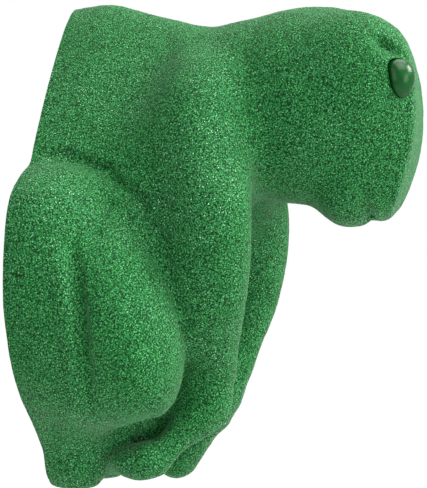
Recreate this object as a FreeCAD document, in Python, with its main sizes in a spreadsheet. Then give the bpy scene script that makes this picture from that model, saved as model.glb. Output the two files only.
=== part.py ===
"""Climbing hold: a crouching frog cast in polyurethane, with the bolt and the two screws that fix it to a wall.

The wall is the plane Y = 0 and the hold stands out from it towards -Y. X runs across the wall and +Z is up. The
origin lies on the wall plane, on the axis of the mounting bolt. The frog looks away from the wall, so its own left
is at +X.
"""
import FreeCAD, Part
import math
import os

import Sketcher
from FreeCAD import Placement, Rotation, Vector

doc = FreeCAD.newDocument("climbing_hold")

# Driving sizes in millimetres, or degrees for an angle, each with what it measures
DRIVING_SIZES = (
    ("hold_height", 152.0, "lowest foot to the top of the back"),
    ("hold_reach", 109.0, "wall plane to the front of the face"),
    ("hold_width", 110.0, "across both haunches"),
    ("bolt_height", 58.0, "lowest foot to the axis of the bolt"),
    ("face_radius", 60.0, "front of the face, as a curve seen from the side"),
    ("mouth_gap", 2.4, "notch between the lip and the chin"),
    ("mouth_depth", 6.0, "how far that notch rises"),
    ("back_width", 84.0, "torso at the wall, across"),
    ("head_width", 54.0, "head behind the eyes, across"),
    ("foreleg_length", 35.0, "section of the foreleg at its thickest, along the reach"),
    ("foreleg_width", 32.0, "section of the foreleg at its thickest, across"),
    ("thigh_length", 40.0, "folded thigh, along the reach"),
    ("thigh_width", 42.0, "folded thigh, across"),
    ("thigh_height", 78.0, "folded thigh, up"),
    ("thigh_lean", 13.0, "lean of the thigh's top towards the wall, in degrees"),
    ("shank_length", 44.0, "section of the shank, along the reach"),
    ("shank_width", 46.0, "section of the shank, across"),
    ("eye_length", 9.6, "eye bead, along the reach"),
    ("eye_height", 13.0, "eye bead, up"),
    ("eye_bulge", 4.6, "dome of the eye bead above its widest line"),
    ("eye_root", 2.5, "body of the eye bead below its widest line"),
    ("eye_clearance", 0.3, "gap round the bead in its socket"),
    ("lid_thickness", 1.5, "lid round the eye bead"),
    ("lid_step", 2.2, "how far the lid's dome lies below the bead's"),
    ("bolt_seat_wall", 20.4, "casting left between the washer and the wall"),
    ("bolt_length", 40.0, "bolt under its head"),
    ("bolt_thread_length", 32.0, "threaded stretch of the bolt"),
    ("bolt_diameter", 9.9, "thread of the M10 bolt, over its crests"),
    ("bolt_shank_diameter", 9.0, "plain shank between the thread and the head"),
    ("bolt_end_chamfer", 1.0, "chamfer at the bolt's end"),
    ("bolt_head_diameter", 16.0, "socket head"),
    ("bolt_head_height", 10.0, "socket head"),
    ("bolt_head_chamfer", 0.8, "chamfer round the top of the head"),
    ("hex_across_flats", 8.0, "hexagon socket in the head"),
    ("hex_depth", 5.0, "hexagon socket in the head"),
    ("bolt_hole_clearance", 1.05, "gap round the bolt in the casting, on the radius"),
    ("washer_diameter", 18.0, "washer under the bolt's head"),
    ("washer_thickness", 1.6, "washer under the bolt's head"),
    ("washer_hole_clearance", 0.3, "gap round the bolt in its washer, on the radius"),
    ("counterbore_clearance", 0.5, "gap round the washer, on the radius"),
    ("screw_spacing", 16.5, "from the bolt's axis to each screw's axis"),
    ("screw_seat_wall", 26.0, "casting left between the cup washer and the wall"),
    ("screw_length", 45.0, "wood screw, over all"),
    ("screw_diameter", 4.5, "thread of the wood screw"),
    ("screw_shank_diameter", 3.3, "plain shank between the thread and the head"),
    ("screw_thread_length", 28.0, "threaded stretch of the screw, with its point"),
    ("screw_head_diameter", 9.0, "countersunk head, with sides at 45 degrees"),
    ("screw_head_rim", 0.4, "straight rim round the countersunk head"),
    ("screw_point_length", 5.0, "pointed tip"),
    ("cross_width", 1.4, "slot of the cross recess in the screw's head"),
    ("cross_length", 5.2, "slot of the cross recess in the screw's head"),
    ("cross_depth", 2.0, "slot of the cross recess in the screw's head"),
    ("screw_hole_clearance", 0.8, "gap round the screw in the casting, on the radius"),
    ("cup_diameter", 10.4, "cup washer under the screw's head"),
    ("cup_floor", 0.8, "metal of the cup washer under the screw's cone"),
    ("cup_seat_clearance", 0.1, "gap between the screw's cone and its cup"),
    ("cup_hole_clearance", 0.25, "gap round the screw in its cup, on the radius"),
    ("recess_clearance", 0.3, "gap round the cup washer, on the radius"),
    ("overrun", 5.0, "how far a cut runs past the face that it opens"),
)

sizes = doc.addObject("Spreadsheet::Sheet", "sizes")
for row, (name, value, meaning) in enumerate(DRIVING_SIZES, start=1):
    sizes.set(f"A{row}", name)
    sizes.set(f"B{row}", str(value))
    sizes.set(f"C{row}", meaning)
    sizes.setAlias(f"B{row}", name)
doc.recompute()


def size(name):
    """Value of one driving size."""
    return float(sizes.get(name))


# The torso as sections from the wall to the neck. Each row holds a share of the reach, the top and the bottom as
# shares of the height, the section's own width as a share of the back's, and the shares by which the section
# narrows towards its top and towards its bottom.
TORSO_SECTION_SHARES = (
    (0.000, 0.991, 0.010, 1.00, 0.38, 0.50),
    (0.110, 0.997, 0.020, 1.00, 0.37, 0.50),
    (0.220, 0.975, 0.053, 0.95, 0.32, 0.40),
    (0.312, 0.957, 0.145, 0.86, 0.26, 0.25),
    (0.367, 0.946, 0.250, 0.78, 0.20, 0.10),
    (0.413, 0.941, 0.408, 0.71, 0.15, 0.00),
)

# The neck and head as sections on to the face, in the same terms but with widths as shares of the head's
HEAD_SECTION_SHARES = (
    (0.459, 0.942, 0.513, 1.02, 0.10, 0.00),
    (0.532, 0.962, 0.556, 0.96, 0.07, 0.00),
    (0.624, 0.977, 0.574, 0.96, 0.05, 0.05),
    (0.716, 0.970, 0.562, 1.00, 0.05, 0.10),
    (0.807, 0.960, 0.533, 0.98, 0.05, 0.20),
    (0.890, 0.941, 0.536, 0.90, 0.03, 0.25),
    (0.954, 0.901, 0.556, 0.80, 0.00, 0.25),
    (1.009, 0.836, 0.625, 0.63, 0.00, 0.20),
)

# One foreleg from the shoulder down to the paw. Each row holds the height, reach and half width of the section's
# middle as shares of the whole, and the section's own length and width as shares of the foreleg's.
FORELEG_SECTION_SHARES = (
    (0.805, 0.413, 0.255, 0.40, 0.50),
    (0.740, 0.427, 0.309, 0.80, 0.88),
    (0.673, 0.436, 0.355, 0.97, 1.00),
    (0.607, 0.440, 0.391, 1.00, 0.94),
    (0.541, 0.440, 0.427, 1.00, 0.81),
    (0.476, 0.436, 0.433, 0.96, 0.70),
    (0.410, 0.431, 0.400, 0.90, 0.62),
    (0.344, 0.427, 0.336, 0.81, 0.58),
    (0.278, 0.427, 0.245, 0.69, 0.53),
    (0.226, 0.422, 0.160, 0.57, 0.50),
    (0.180, 0.408, 0.118, 0.54, 0.48),
    (0.134, 0.376, 0.190, 0.53, 0.47),
    (0.088, 0.339, 0.264, 0.49, 0.44),
    (0.048, 0.317, 0.300, 0.37, 0.37),
    (0.028, 0.307, 0.309, 0.20, 0.20),
)

# One shank from the knee down to the foot, in the same terms
SHANK_SECTION_SHARES = (
    (0.656, 0.028, 0.460, 0.10, 0.10),
    (0.642, 0.030, 0.560, 0.24, 0.22),
    (0.624, 0.032, 0.575, 0.50, 0.48),
    (0.579, 0.035, 0.590, 0.78, 0.76),
    (0.509, 0.035, 0.595, 0.93, 0.93),
    (0.429, 0.037, 0.590, 0.99, 0.99),
    (0.349, 0.040, 0.570, 0.97, 0.97),
    (0.269, 0.045, 0.500, 0.88, 0.88),
    (0.189, 0.048, 0.395, 0.74, 0.73),
    (0.109, 0.052, 0.290, 0.58, 0.56),
    (0.049, 0.052, 0.240, 0.48, 0.46),
    (0.000, 0.045, 0.210, 0.34, 0.34),
)

# Middles of the other forms, as shares of the reach, the half width and the height. The eye's second share is of
# half the head's width.
THIGH_PLACE_SHARES = (0.257, 0.545, 0.384)
EYE_PLACE_SHARES = (0.943, 0.722, 0.803)
MOUTH_PLACE_SHARES = (0.890, 0.0, 0.535)
FACE_CURVE_HEIGHT_SHARE = 0.732

SECTION_POINTS = 12
HEX_SIDES = 6
LEFT_AND_RIGHT = (("left", 1), ("right", -1))
UPPER_AND_LOWER = (("upper", 1), ("lower", -1))


def place(place_shares, side=1, width="hold_width"):
    """Expressions for a middle given as shares of the reach, half a width and the height."""
    out_share, side_share, up_share = place_shares
    return (
        f"{side * side_share} * sizes.{width} / 2",
        f"-{out_share} * sizes.hold_reach",
        f"{up_share} * sizes.hold_height - sizes.bolt_height",
    )


def bind_place(form, expressions):
    """Ties an object's position to three expressions."""
    for axis, expression in zip("xyz", expressions):
        form.setExpression(f"Placement.Base.{axis}", expression)


def ellipsoid(name, half_width, half_length, half_height, middle):
    """Ellipsoid with its half axes and its middle given as expressions."""
    form = doc.addObject("Part::Ellipsoid", name)
    form.Angle1, form.Angle2, form.Angle3 = -90, 90, 360
    form.setExpression("Radius2", half_width)
    form.setExpression("Radius3", half_length)
    form.setExpression("Radius1", half_height)
    bind_place(form, middle)
    return form


def ellipsoid_across(name, half_width, half_length, half_height, middle):
    """The same with its poles at the sides, away from cuts along its middle."""
    form = ellipsoid(name, half_height, half_length, half_width, middle)
    form.Placement.Rotation = Rotation(Vector(0, 1, 0), 90)
    return form


def box(name, lengths, corner):
    """Box with its three lengths and its lowest corner given as expressions."""
    block = doc.addObject("Part::Box", name)
    for side_name, length in zip(("Length", "Width", "Height"), lengths):
        block.setExpression(side_name, length)
    bind_place(block, corner)
    return block


def fuse(name, forms):
    """Several forms made one."""
    joined = doc.addObject("Part::MultiFuse", name)
    joined.Shapes, joined.Refine = forms, False
    return joined


def cut(name, base, tool):
    """One form with another taken away."""
    left_over = doc.addObject("Part::Cut", name)
    left_over.Base, left_over.Tool, left_over.Refine = base, tool, False
    return left_over


def fuse_in_turn(name, base, forms):
    """Forms joined to a base one after another, which keeps the seams where three of them meet tight."""
    joined = base
    for form in forms:
        step = doc.addObject("Part::Fuse", f"{name}_with_{form.Name}")
        step.Base, step.Tool, step.Refine = joined, form, False
        joined = step
    return joined


def overlap(name, base, tool):
    """What two forms share."""
    shared = doc.addObject("Part::Common", name)
    shared.Base, shared.Tool, shared.Refine = base, tool, False
    return shared


def closed_curve(points):
    """Smooth closed wire through points."""
    curve = Part.BSplineCurve()
    curve.interpolate(points, PeriodicFlag=True)
    return Part.Wire(curve.toShape())


def section_angles():
    """Angles of the points round a section."""
    return [2 * math.pi * step / SECTION_POINTS for step in range(SECTION_POINTS)]


def trunk():
    """Torso, neck and head as one smooth form."""
    rows = [(row, size("back_width")) for row in TORSO_SECTION_SHARES]
    rows += [(row, size("head_width")) for row in HEAD_SECTION_SHARES]
    sections = []
    for (out_share, top_share, bottom_share, width_share, top_narrowing_share, bottom_narrowing_share), width in rows:
        half_width = width_share * width / 2
        half_height = (top_share - bottom_share) / 2 * size("hold_height")
        middle = (top_share + bottom_share) / 2 * size("hold_height") - size("bolt_height")
        points = []
        for angle in section_angles():
            rise = math.sin(angle)
            narrowing_share = top_narrowing_share if rise > 0 else -bottom_narrowing_share
            across = half_width * math.cos(angle) * (1 - narrowing_share * rise)
            points.append(Vector(across, -out_share * size("hold_reach"), middle + half_height * rise))
        sections.append(closed_curve(points))
    form = doc.addObject("Part::Feature", "trunk")
    form.Shape = Part.makeLoft(sections, True, False)
    return form


def leg(name, kind, section_shares, side):
    """Foreleg or shank as one smooth form, from its top down."""
    sections = []
    for up_share, out_share, side_share, length_share, width_share in section_shares:
        half_length = length_share * size(f"{kind}_length") / 2
        half_width = width_share * size(f"{kind}_width") / 2
        sections.append(
            closed_curve(
                [
                    Vector(
                        side * side_share * size("hold_width") / 2 + half_width * math.cos(angle),
                        -out_share * size("hold_reach") + half_length * math.sin(angle),
                        up_share * size("hold_height") - size("bolt_height"),
                    )
                    for angle in section_angles()
                ]
            )
        )
    form = doc.addObject("Part::Feature", name)
    form.Shape = Part.makeLoft(sections, True, False)
    return form


def thigh(name, side):
    """Folded thigh, with its top leaning to the wall."""
    half_axes = ("sizes.thigh_width / 2", "sizes.thigh_length / 2", "sizes.thigh_height / 2")
    form = ellipsoid(name, *half_axes, place(THIGH_PLACE_SHARES, side))
    form.Placement.Rotation = Rotation(Vector(-1, 0, 0), size("thigh_lean"))
    form.setExpression("Placement.Rotation.Angle", "sizes.thigh_lean")
    return form


def face_limits():
    """Space that the trunk may fill: all of it behind the face's curve, and what lies inside that curve."""
    out = "sizes.face_radius - sizes.hold_reach"
    up = f"{FACE_CURVE_HEIGHT_SHARE} * sizes.hold_height - sizes.bolt_height"
    drum = doc.addObject("Part::Cylinder", "face_curve")
    drum.setExpression("Radius", "sizes.face_radius")
    drum.setExpression("Height", "sizes.hold_width")
    drum.Placement = Placement(Vector(), Rotation(Vector(0, 1, 0), 90))
    bind_place(drum, ("-sizes.hold_width / 2", out, up))
    behind = box(
        "behind_face_curve",
        ("sizes.hold_width", f"sizes.overrun - ({out})", "2 * sizes.hold_height"),
        ("-sizes.hold_width / 2", out, "-sizes.hold_height"),
    )
    return fuse("face_limits", [drum, behind])


def mouth():
    """Thin wedge that parts the lip from the chin."""
    return ellipsoid_across(
        "mouth", "sizes.hold_width / 2", "sizes.mouth_gap / 2", "sizes.mouth_depth", place(MOUTH_PLACE_SHARES)
    )


def lid(name, side):
    """Raised lid round an eye bead."""
    return ellipsoid_across(
        name,
        "sizes.eye_bulge - sizes.lid_step",
        "sizes.eye_length / 2 + sizes.lid_thickness",
        "sizes.eye_height / 2 + sizes.lid_thickness",
        place(EYE_PLACE_SHARES, side, "head_width"),
    )


def eye_bead(name, growth, side):
    """Eye bead with a flat back, grown all round by one size."""
    across, out, up = place(EYE_PLACE_SHARES, side, "head_width")
    round_form = ellipsoid_across(
        f"{name}_round",
        f"sizes.eye_bulge + {growth}",
        f"sizes.eye_length / 2 + {growth}",
        f"sizes.eye_height / 2 + {growth}",
        (across, out, up),
    )
    depth = "(sizes.eye_bulge + sizes.eye_root + sizes.overrun)"
    span = "2 * (sizes.eye_height + sizes.overrun)"
    start = f"{across} - sizes.eye_root" if side > 0 else f"{across} + sizes.eye_root - {depth}"
    outside = box(
        f"{name}_outside", (depth, span, span), (start, f"{out} - {span} / 2", f"{up} - {span} / 2")
    )
    return overlap(name, round_form, outside)


def bore(name, radius, start, length, height="0"):
    """Round tool that cuts straight out from the wall, from one distance off it and for a length."""
    tool = doc.addObject("Part::Cylinder", name)
    tool.setExpression("Radius", radius)
    tool.setExpression("Height", length)
    tool.Placement = Placement(Vector(), Rotation(Vector(1, 0, 0), 90))
    bind_place(tool, ("0", f"-({start})", height))
    return tool


def holes():
    """Everything cut from the casting: bolt hole and counterbore, screw holes and recesses, and eye sockets."""
    tools = [
        bore(
            "bolt_hole",
            "sizes.bolt_diameter / 2 + sizes.bolt_hole_clearance",
            "-sizes.overrun",
            "sizes.bolt_seat_wall + 2 * sizes.overrun",
        ),
        bore(
            "counterbore",
            "sizes.washer_diameter / 2 + sizes.counterbore_clearance",
            "sizes.bolt_seat_wall",
            "sizes.hold_reach",
        ),
    ]
    for hand, sign in UPPER_AND_LOWER:
        tools += [
            bore(
                f"{hand}_screw_hole",
                "sizes.screw_diameter / 2 + sizes.screw_hole_clearance",
                "-sizes.overrun",
                "sizes.screw_seat_wall + 2 * sizes.overrun",
                f"{sign} * sizes.screw_spacing",
            ),
            bore(
                f"{hand}_recess",
                "sizes.cup_diameter / 2 + sizes.recess_clearance",
                "sizes.screw_seat_wall",
                "sizes.hold_reach",
                f"{sign} * sizes.screw_spacing",
            ),
        ]
    tools += [eye_bead(f"{hand}_socket", "sizes.eye_clearance", side) for hand, side in LEFT_AND_RIGHT]
    return fuse("holes", tools)


def casting():
    """The frog: one solid casting with a flat back."""
    lidded_trunk = fuse_in_turn("trunk", trunk(), [lid(f"{hand}_lid", side) for hand, side in LEFT_AND_RIGHT])
    faced_trunk = cut("faced_trunk", overlap("blunt_trunk", lidded_trunk, face_limits()), mouth())
    legs = []
    for hand, side in LEFT_AND_RIGHT:
        legs += [
            leg(f"{hand}_foreleg", "foreleg", FORELEG_SECTION_SHARES, side),
            thigh(f"{hand}_thigh", side),
            leg(f"{hand}_shank", "shank", SHANK_SECTION_SHARES, side),
        ]
    room = box(
        "room_side",
        ("2 * sizes.hold_width", "2 * sizes.hold_reach", "2 * sizes.hold_height"),
        ("-sizes.hold_width", "-2 * sizes.hold_reach", "-sizes.hold_height"),
    )
    return cut("hold_body", overlap("flat_backed_frog", fuse_in_turn("frog", faced_trunk, legs), room), holes())


def origin_plane(body, role):
    """One of a body's own origin planes."""
    return next(plane for plane in body.Origin.OriginFeatures if plane.Role == role)


def sketch_on(body, role, name, outline):
    """Closed sketch on one of a body's planes, each corner bound to its two expressions."""
    sketch = body.newObject("Sketcher::SketchObject", name)
    sketch.AttachmentSupport = [(origin_plane(body, role), "")]
    sketch.MapMode = "FlatFace"
    corners = [
        Vector(float(sketch.evalExpression(across)), float(sketch.evalExpression(along)), 0)
        for across, along in outline
    ]
    for first, second in zip(corners, corners[1:] + corners[:1]):
        sketch.addGeometry(Part.LineSegment(first, second))
    for index in range(len(corners)):
        sketch.addConstraint(Sketcher.Constraint("Coincident", index, 2, (index + 1) % len(corners), 1))
    for index, (across, along) in enumerate(outline):
        for direction, expression in (("DistanceX", across), ("DistanceY", along)):
            bound = Sketcher.Constraint(direction, -1, 1, index, 1, float(sketch.evalExpression(expression)))
            sketch.setExpression(f"Constraints[{sketch.addConstraint(bound)}]", expression)
    return sketch


def turned(name, outline):
    """Body turned about its own Z axis from corners given as radius and height."""
    body = doc.addObject("PartDesign::Body", name)
    turning = body.newObject("PartDesign::Revolution", f"{name}_turning")
    turning.Profile = sketch_on(body, "XZ_Plane", f"{name}_outline", outline)
    turning.ReferenceAxis = (turning.Profile[0], ["V_Axis"])
    turning.Angle = 360
    body.Tip = turning
    doc.recompute()
    return body


def pocket(body, name, outline, top, depth):
    """Pocket sunk into a body from a height, down its Z axis."""
    before = body.Shape.Volume
    feature = body.newObject("PartDesign::Pocket", f"{body.Name}_{name}")
    feature.Profile = sketch_on(body, "XY_Plane", f"{body.Name}_{name}_outline", outline)
    feature.Profile[0].setExpression("AttachmentOffset.Base.z", top)
    feature.setExpression("Length", depth)
    body.Tip = feature
    doc.recompute()
    if body.Shape.Volume >= before:
        raise RuntimeError(f"{feature.Name} cuts nothing")


def stand_off_wall(body, start, height="0"):
    """Turns a body's Z axis straight out from the wall and sets it at a distance off it."""
    body.Placement = Placement(Vector(), Rotation(Vector(1, 0, 0), 90))
    bind_place(body, ("0", f"-({start})", height))
    return body


def mounting_bolt():
    """Socket head cap screw, with its seat at height zero and its end towards the wall."""
    head = "sizes.bolt_head_diameter / 2"
    shank = "sizes.bolt_shank_diameter / 2"
    crest = "sizes.bolt_diameter / 2"
    chamfer = "sizes.bolt_head_chamfer"
    body = turned(
        "mounting_bolt",
        (
            ("0", "-sizes.bolt_length"),
            (f"{crest} - sizes.bolt_end_chamfer", "-sizes.bolt_length"),
            (crest, "sizes.bolt_end_chamfer - sizes.bolt_length"),
            (crest, "sizes.bolt_thread_length - sizes.bolt_length"),
            (shank, "sizes.bolt_thread_length - sizes.bolt_length"),
            (shank, "0"),
            (head, "0"),
            (head, f"sizes.bolt_head_height - {chamfer}"),
            (f"{head} - {chamfer}", "sizes.bolt_head_height"),
            ("0", "sizes.bolt_head_height"),
        ),
    )
    corner_radius = f"sizes.hex_across_flats / 2 / cos({180 / HEX_SIDES})"
    turns = [360 / HEX_SIDES * step for step in range(HEX_SIDES)]
    hexagon = [(f"{corner_radius} * cos({turn})", f"{corner_radius} * sin({turn})") for turn in turns]
    pocket(body, "hex", hexagon, "sizes.bolt_head_height", "sizes.hex_depth")
    return stand_off_wall(body, "sizes.bolt_seat_wall + sizes.washer_thickness")


def bolt_washer():
    """Flat washer between the casting and the bolt's head."""
    hole = "sizes.bolt_diameter / 2 + sizes.washer_hole_clearance"
    rim = "sizes.washer_diameter / 2"
    body = turned(
        "bolt_washer", ((hole, "0"), (rim, "0"), (rim, "sizes.washer_thickness"), (hole, "sizes.washer_thickness"))
    )
    return stand_off_wall(body, "sizes.bolt_seat_wall")


# A cone at 45 degrees is as high as the step in its radius: the screw's own, and the part of it that the cup takes
SCREW_CONE_HEIGHT = "(sizes.screw_head_diameter - sizes.screw_shank_diameter) / 2"
CUP_HOLE_RADIUS = "(sizes.screw_diameter / 2 + sizes.cup_hole_clearance)"
CUP_MOUTH_RADIUS = "(sizes.screw_head_diameter / 2 + sizes.cup_seat_clearance)"
CUP_HEIGHT = f"(sizes.cup_floor + {CUP_MOUTH_RADIUS} - {CUP_HOLE_RADIUS})"


def cup_washer(name, sign):
    """Cup washer whose cone carries the screw's head."""
    rim = "sizes.cup_diameter / 2"
    body = turned(
        name,
        (
            (CUP_HOLE_RADIUS, "0"),
            (rim, "0"),
            (rim, CUP_HEIGHT),
            (CUP_MOUTH_RADIUS, CUP_HEIGHT),
            (CUP_HOLE_RADIUS, "sizes.cup_floor"),
        ),
    )
    return stand_off_wall(body, "sizes.screw_seat_wall", f"{sign} * sizes.screw_spacing")


def wood_screw(name, sign):
    """Countersunk wood screw, with the top of its cone at height zero and its point towards the wall."""
    thread = "sizes.screw_diameter / 2"
    shank = "sizes.screw_shank_diameter / 2"
    head = "sizes.screw_head_diameter / 2"
    end = "sizes.screw_head_rim - sizes.screw_length"
    body = turned(
        name,
        (
            ("0", end),
            (thread, f"{end} + sizes.screw_point_length"),
            (thread, f"{end} + sizes.screw_thread_length"),
            (shank, f"{end} + sizes.screw_thread_length"),
            (shank, f"-{SCREW_CONE_HEIGHT}"),
            (head, "0"),
            (head, "sizes.screw_head_rim"),
            ("0", "sizes.screw_head_rim"),
        ),
    )
    long_side, short_side = "sizes.cross_length / 2", "sizes.cross_width / 2"
    cross = (
        (long_side, f"-{short_side}"),
        (long_side, short_side),
        (short_side, short_side),
        (short_side, long_side),
        (f"-{short_side}", long_side),
        (f"-{short_side}", short_side),
        (f"-{long_side}", short_side),
        (f"-{long_side}", f"-{short_side}"),
        (f"-{short_side}", f"-{short_side}"),
        (f"-{short_side}", f"-{long_side}"),
        (short_side, f"-{long_side}"),
        (short_side, f"-{short_side}"),
    )
    pocket(body, "cross", cross, "sizes.screw_head_rim", "sizes.cross_depth")
    return stand_off_wall(body, f"sizes.screw_seat_wall + {CUP_HEIGHT}", f"{sign} * sizes.screw_spacing")


def check(parts):
    """Stops the build if any object failed or any part's shape is empty or broken."""
    for made in doc.Objects:
        if "Invalid" in made.State or "Error" in made.State:
            raise RuntimeError(f"{made.Label} failed: {made.State}")
    for part in parts:
        if part.Shape.isNull() or not part.Shape.isValid():
            raise RuntimeError(f"{part.Label} has no valid shape")
        if len(part.Shape.Solids) != 1:
            raise RuntimeError(f"{part.Label} is {len(part.Shape.Solids)} solids instead of one")


def main():
    """Builds every piece, checks them and writes one file for each."""
    parts = [casting(), mounting_bolt(), bolt_washer()]
    parts += [eye_bead(f"{hand}_eye", "0", side) for hand, side in LEFT_AND_RIGHT]
    for hand, sign in UPPER_AND_LOWER:
        parts += [cup_washer(f"{hand}_cup_washer", sign), wood_screw(f"{hand}_screw", sign)]
    doc.recompute()
    check(parts)
    os.makedirs("parts", exist_ok=True)
    for part in parts:
        part.Shape.exportStep(f"parts/{part.Label}.step")
        extent = part.Shape.optimalBoundingBox()
        print(
            f"{part.Label}: {part.Shape.Volume:.0f} mm3, X {extent.XMin:.1f} to {extent.XMax:.1f}, "
            f"Y {extent.YMin:.1f} to {extent.YMax:.1f}, Z {extent.ZMin:.1f} to {extent.ZMax:.1f}"
        )


main()
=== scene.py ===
"""Climbing hold cast as a crouching frog: a grained casting, two eye beads and the steel that fixes it.

The forms are given in millimetres as side, out and up. Side is 0 on the frog's middle plane and grows towards
-X, out is the distance off the wall, towards -Y, and up is the height above the bolt's axis, along +Z. Meshes
are made from them in metres in the shared frame.
"""
from __future__ import annotations

import logging
import math
from collections.abc import Callable, Sequence
from dataclasses import dataclass, field
from enum import Enum

import bpy
import numpy as np
from mathutils import Matrix, Vector

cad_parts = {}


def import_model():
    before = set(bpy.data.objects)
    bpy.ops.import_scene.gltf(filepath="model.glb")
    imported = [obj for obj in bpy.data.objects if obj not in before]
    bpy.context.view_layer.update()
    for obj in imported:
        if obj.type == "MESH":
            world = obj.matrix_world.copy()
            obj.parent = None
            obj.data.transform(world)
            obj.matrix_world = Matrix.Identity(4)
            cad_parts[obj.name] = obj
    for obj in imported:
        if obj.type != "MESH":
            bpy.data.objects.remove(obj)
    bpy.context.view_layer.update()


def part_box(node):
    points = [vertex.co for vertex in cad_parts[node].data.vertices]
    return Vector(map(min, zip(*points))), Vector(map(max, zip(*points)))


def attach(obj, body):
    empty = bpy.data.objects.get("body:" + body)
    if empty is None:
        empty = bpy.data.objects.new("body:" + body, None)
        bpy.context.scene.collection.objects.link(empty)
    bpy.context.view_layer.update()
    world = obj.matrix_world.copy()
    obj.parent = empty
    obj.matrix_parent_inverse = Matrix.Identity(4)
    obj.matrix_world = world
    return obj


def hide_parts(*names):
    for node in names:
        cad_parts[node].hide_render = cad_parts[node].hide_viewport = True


LOG = logging.getLogger("climbing_hold")
MM = 0.001

Place = tuple[float, float, float]
Colour = tuple[float, float, float, float]
Outline = Sequence[tuple[float, float]]
Piece = bpy.types.Object
Mesh = bpy.types.Mesh
Material = bpy.types.Material
NodeTree = bpy.types.NodeTree
Node = bpy.types.Node
Socket = bpy.types.NodeSocket
Value = float | Socket

WHITE: Colour = (1.0, 1.0, 1.0, 1.0)
TINY = 1e-6
HEX_SIDES = 6


class Hand(Enum):
    """The two sides of the frog. The value is the sign of side: the frog's right is at -X."""

    LEFT = -1
    RIGHT = 1


class Level(Enum):
    """The two wood screws, above and below the bolt."""

    UPPER = "upper"
    LOWER = "lower"


class Coat(Enum):
    """The surface treatments of the steel pieces."""

    BLACK_OXIDE = "black_oxide"
    ZINC = "zinc"
    YELLOW_ZINC = "yellow_zinc"


# Meshes and objects


def to_frame(points: np.ndarray) -> np.ndarray:
    """Turns side, out and up in millimetres into X, Y and Z in metres."""
    return np.column_stack((-points[:, 0], -points[:, 1], points[:, 2])) * MM


def new_mesh(name: str, points: np.ndarray, faces: Sequence[Sequence[int]]) -> Mesh:
    """Makes a mesh.

    Args:
        name: the mesh's name.
        points: one row of X, Y and Z for each vertex.
        faces: the vertices of each face, counted round its outward side.

    Returns:
        The new mesh.
    """
    mesh = bpy.data.meshes.new(name)
    mesh.from_pydata(points.tolist(), [], [list(map(int, face)) for face in faces])
    mesh.update()
    return mesh


def new_piece(name: str, mesh: Mesh) -> Piece:
    """Puts a mesh into the scene as an object at the origin."""
    piece = bpy.data.objects.new(name, mesh)
    bpy.context.scene.collection.objects.link(piece)
    return piece


def plain(piece: Piece) -> Piece:
    """Turns a piece's modifiers into its own mesh.

    Args:
        piece: the piece with its modifiers.

    Returns:
        The same piece.
    """
    bpy.context.view_layer.update()
    depsgraph = bpy.context.evaluated_depsgraph_get()
    mesh = bpy.data.meshes.new_from_object(
        piece.evaluated_get(depsgraph), preserve_all_data_layers=True, depsgraph=depsgraph
    )
    piece.modifiers.clear()
    piece.data = mesh
    return piece


def combine(piece: Piece, tool: Piece, operation: str) -> None:
    """Joins a tool to a piece or cuts it away, and removes the tool.

    Args:
        piece: the piece that changes.
        tool: the closed mesh that is joined or cut away.
        operation: UNION or DIFFERENCE.
    """
    modifier = piece.modifiers.new("combine", "BOOLEAN")
    modifier.operation = operation
    modifier.object = tool
    modifier.solver = "EXACT"
    plain(piece)
    bpy.data.objects.remove(tool)


def rounded(corners: Outline, radius: float) -> list[tuple[float, float]]:
    """Rounds the corners of a turned outline that lie off its axis.

    Args:
        corners: radius and height of each corner.
        radius: length taken from each edge beside a corner.

    Returns:
        The outline with three points in place of each corner.
    """
    outline = []
    for index, here in enumerate(corners):
        if here[0] == 0 or index in (0, len(corners) - 1):
            outline.append(here)
            continue
        point, before, after = (Vector(corner) for corner in (here, corners[index - 1], corners[index + 1]))
        start = point + (before - point).normalized() * min(radius, (before - point).length / 3)
        end = point + (after - point).normalized() * min(radius, (after - point).length / 3)
        middle = start / 4 + point / 2 + end / 4
        outline += [tuple(start), tuple(middle), tuple(end)]
    return outline


def turned_mesh(name: str, outline: Outline, sides: int, closed: bool = False) -> Mesh:
    """Turns an outline about the Z axis.

    Args:
        name: the mesh's name.
        outline: radius and height of each point, up the outer side. A solid starts and ends on the axis.
        sides: faces round the axis.
        closed: whether the outline is a loop, for a ring.

    Returns:
        The mesh, in the outline's own unit.
    """
    points, rings = [], []
    for radius, height in outline:
        if radius == 0:
            rings.append([len(points)] * sides)
            points.append((0.0, 0.0, height))
            continue
        rings.append(list(range(len(points), len(points) + sides)))
        for step in range(sides):
            angle = 2 * math.pi * step / sides
            points.append((radius * math.cos(angle), radius * math.sin(angle), height))
    faces = []
    for low, high in zip(rings, rings[1:] + rings[:1] if closed else rings[1:]):
        for step in range(sides):
            after = (step + 1) % sides
            corners = [low[step], low[after], high[after], high[step]]
            faces.append(list(dict.fromkeys(corners)))
    return new_mesh(name, np.array(points), faces)


def prism_mesh(name: str, outline: Outline, low: float, high: float) -> Mesh:
    """Stands an outline up between two heights.

    Args:
        name: the mesh's name.
        outline: its X and Y places, counted anticlockwise.
        low: the lower height.
        high: the upper height.

    Returns:
        The closed mesh.
    """
    count = len(outline)
    points = [(x, y, height) for height in (low, high) for x, y in outline]
    faces = [list(range(count))[::-1], list(range(count, 2 * count))]
    faces += [[step, (step + 1) % count, (step + 1) % count + count, step + count] for step in range(count)]
    return new_mesh(name, np.array(points), faces)


def off_wall(height: float) -> Matrix:
    """Turns millimetres up an axis into metres straight out from the wall, at a height above the bolt."""
    outwards = Matrix.Rotation(math.radians(90), 4, "X")
    return Matrix.Scale(MM, 4) @ Matrix.Translation((0, 0, height)) @ outwards


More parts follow.
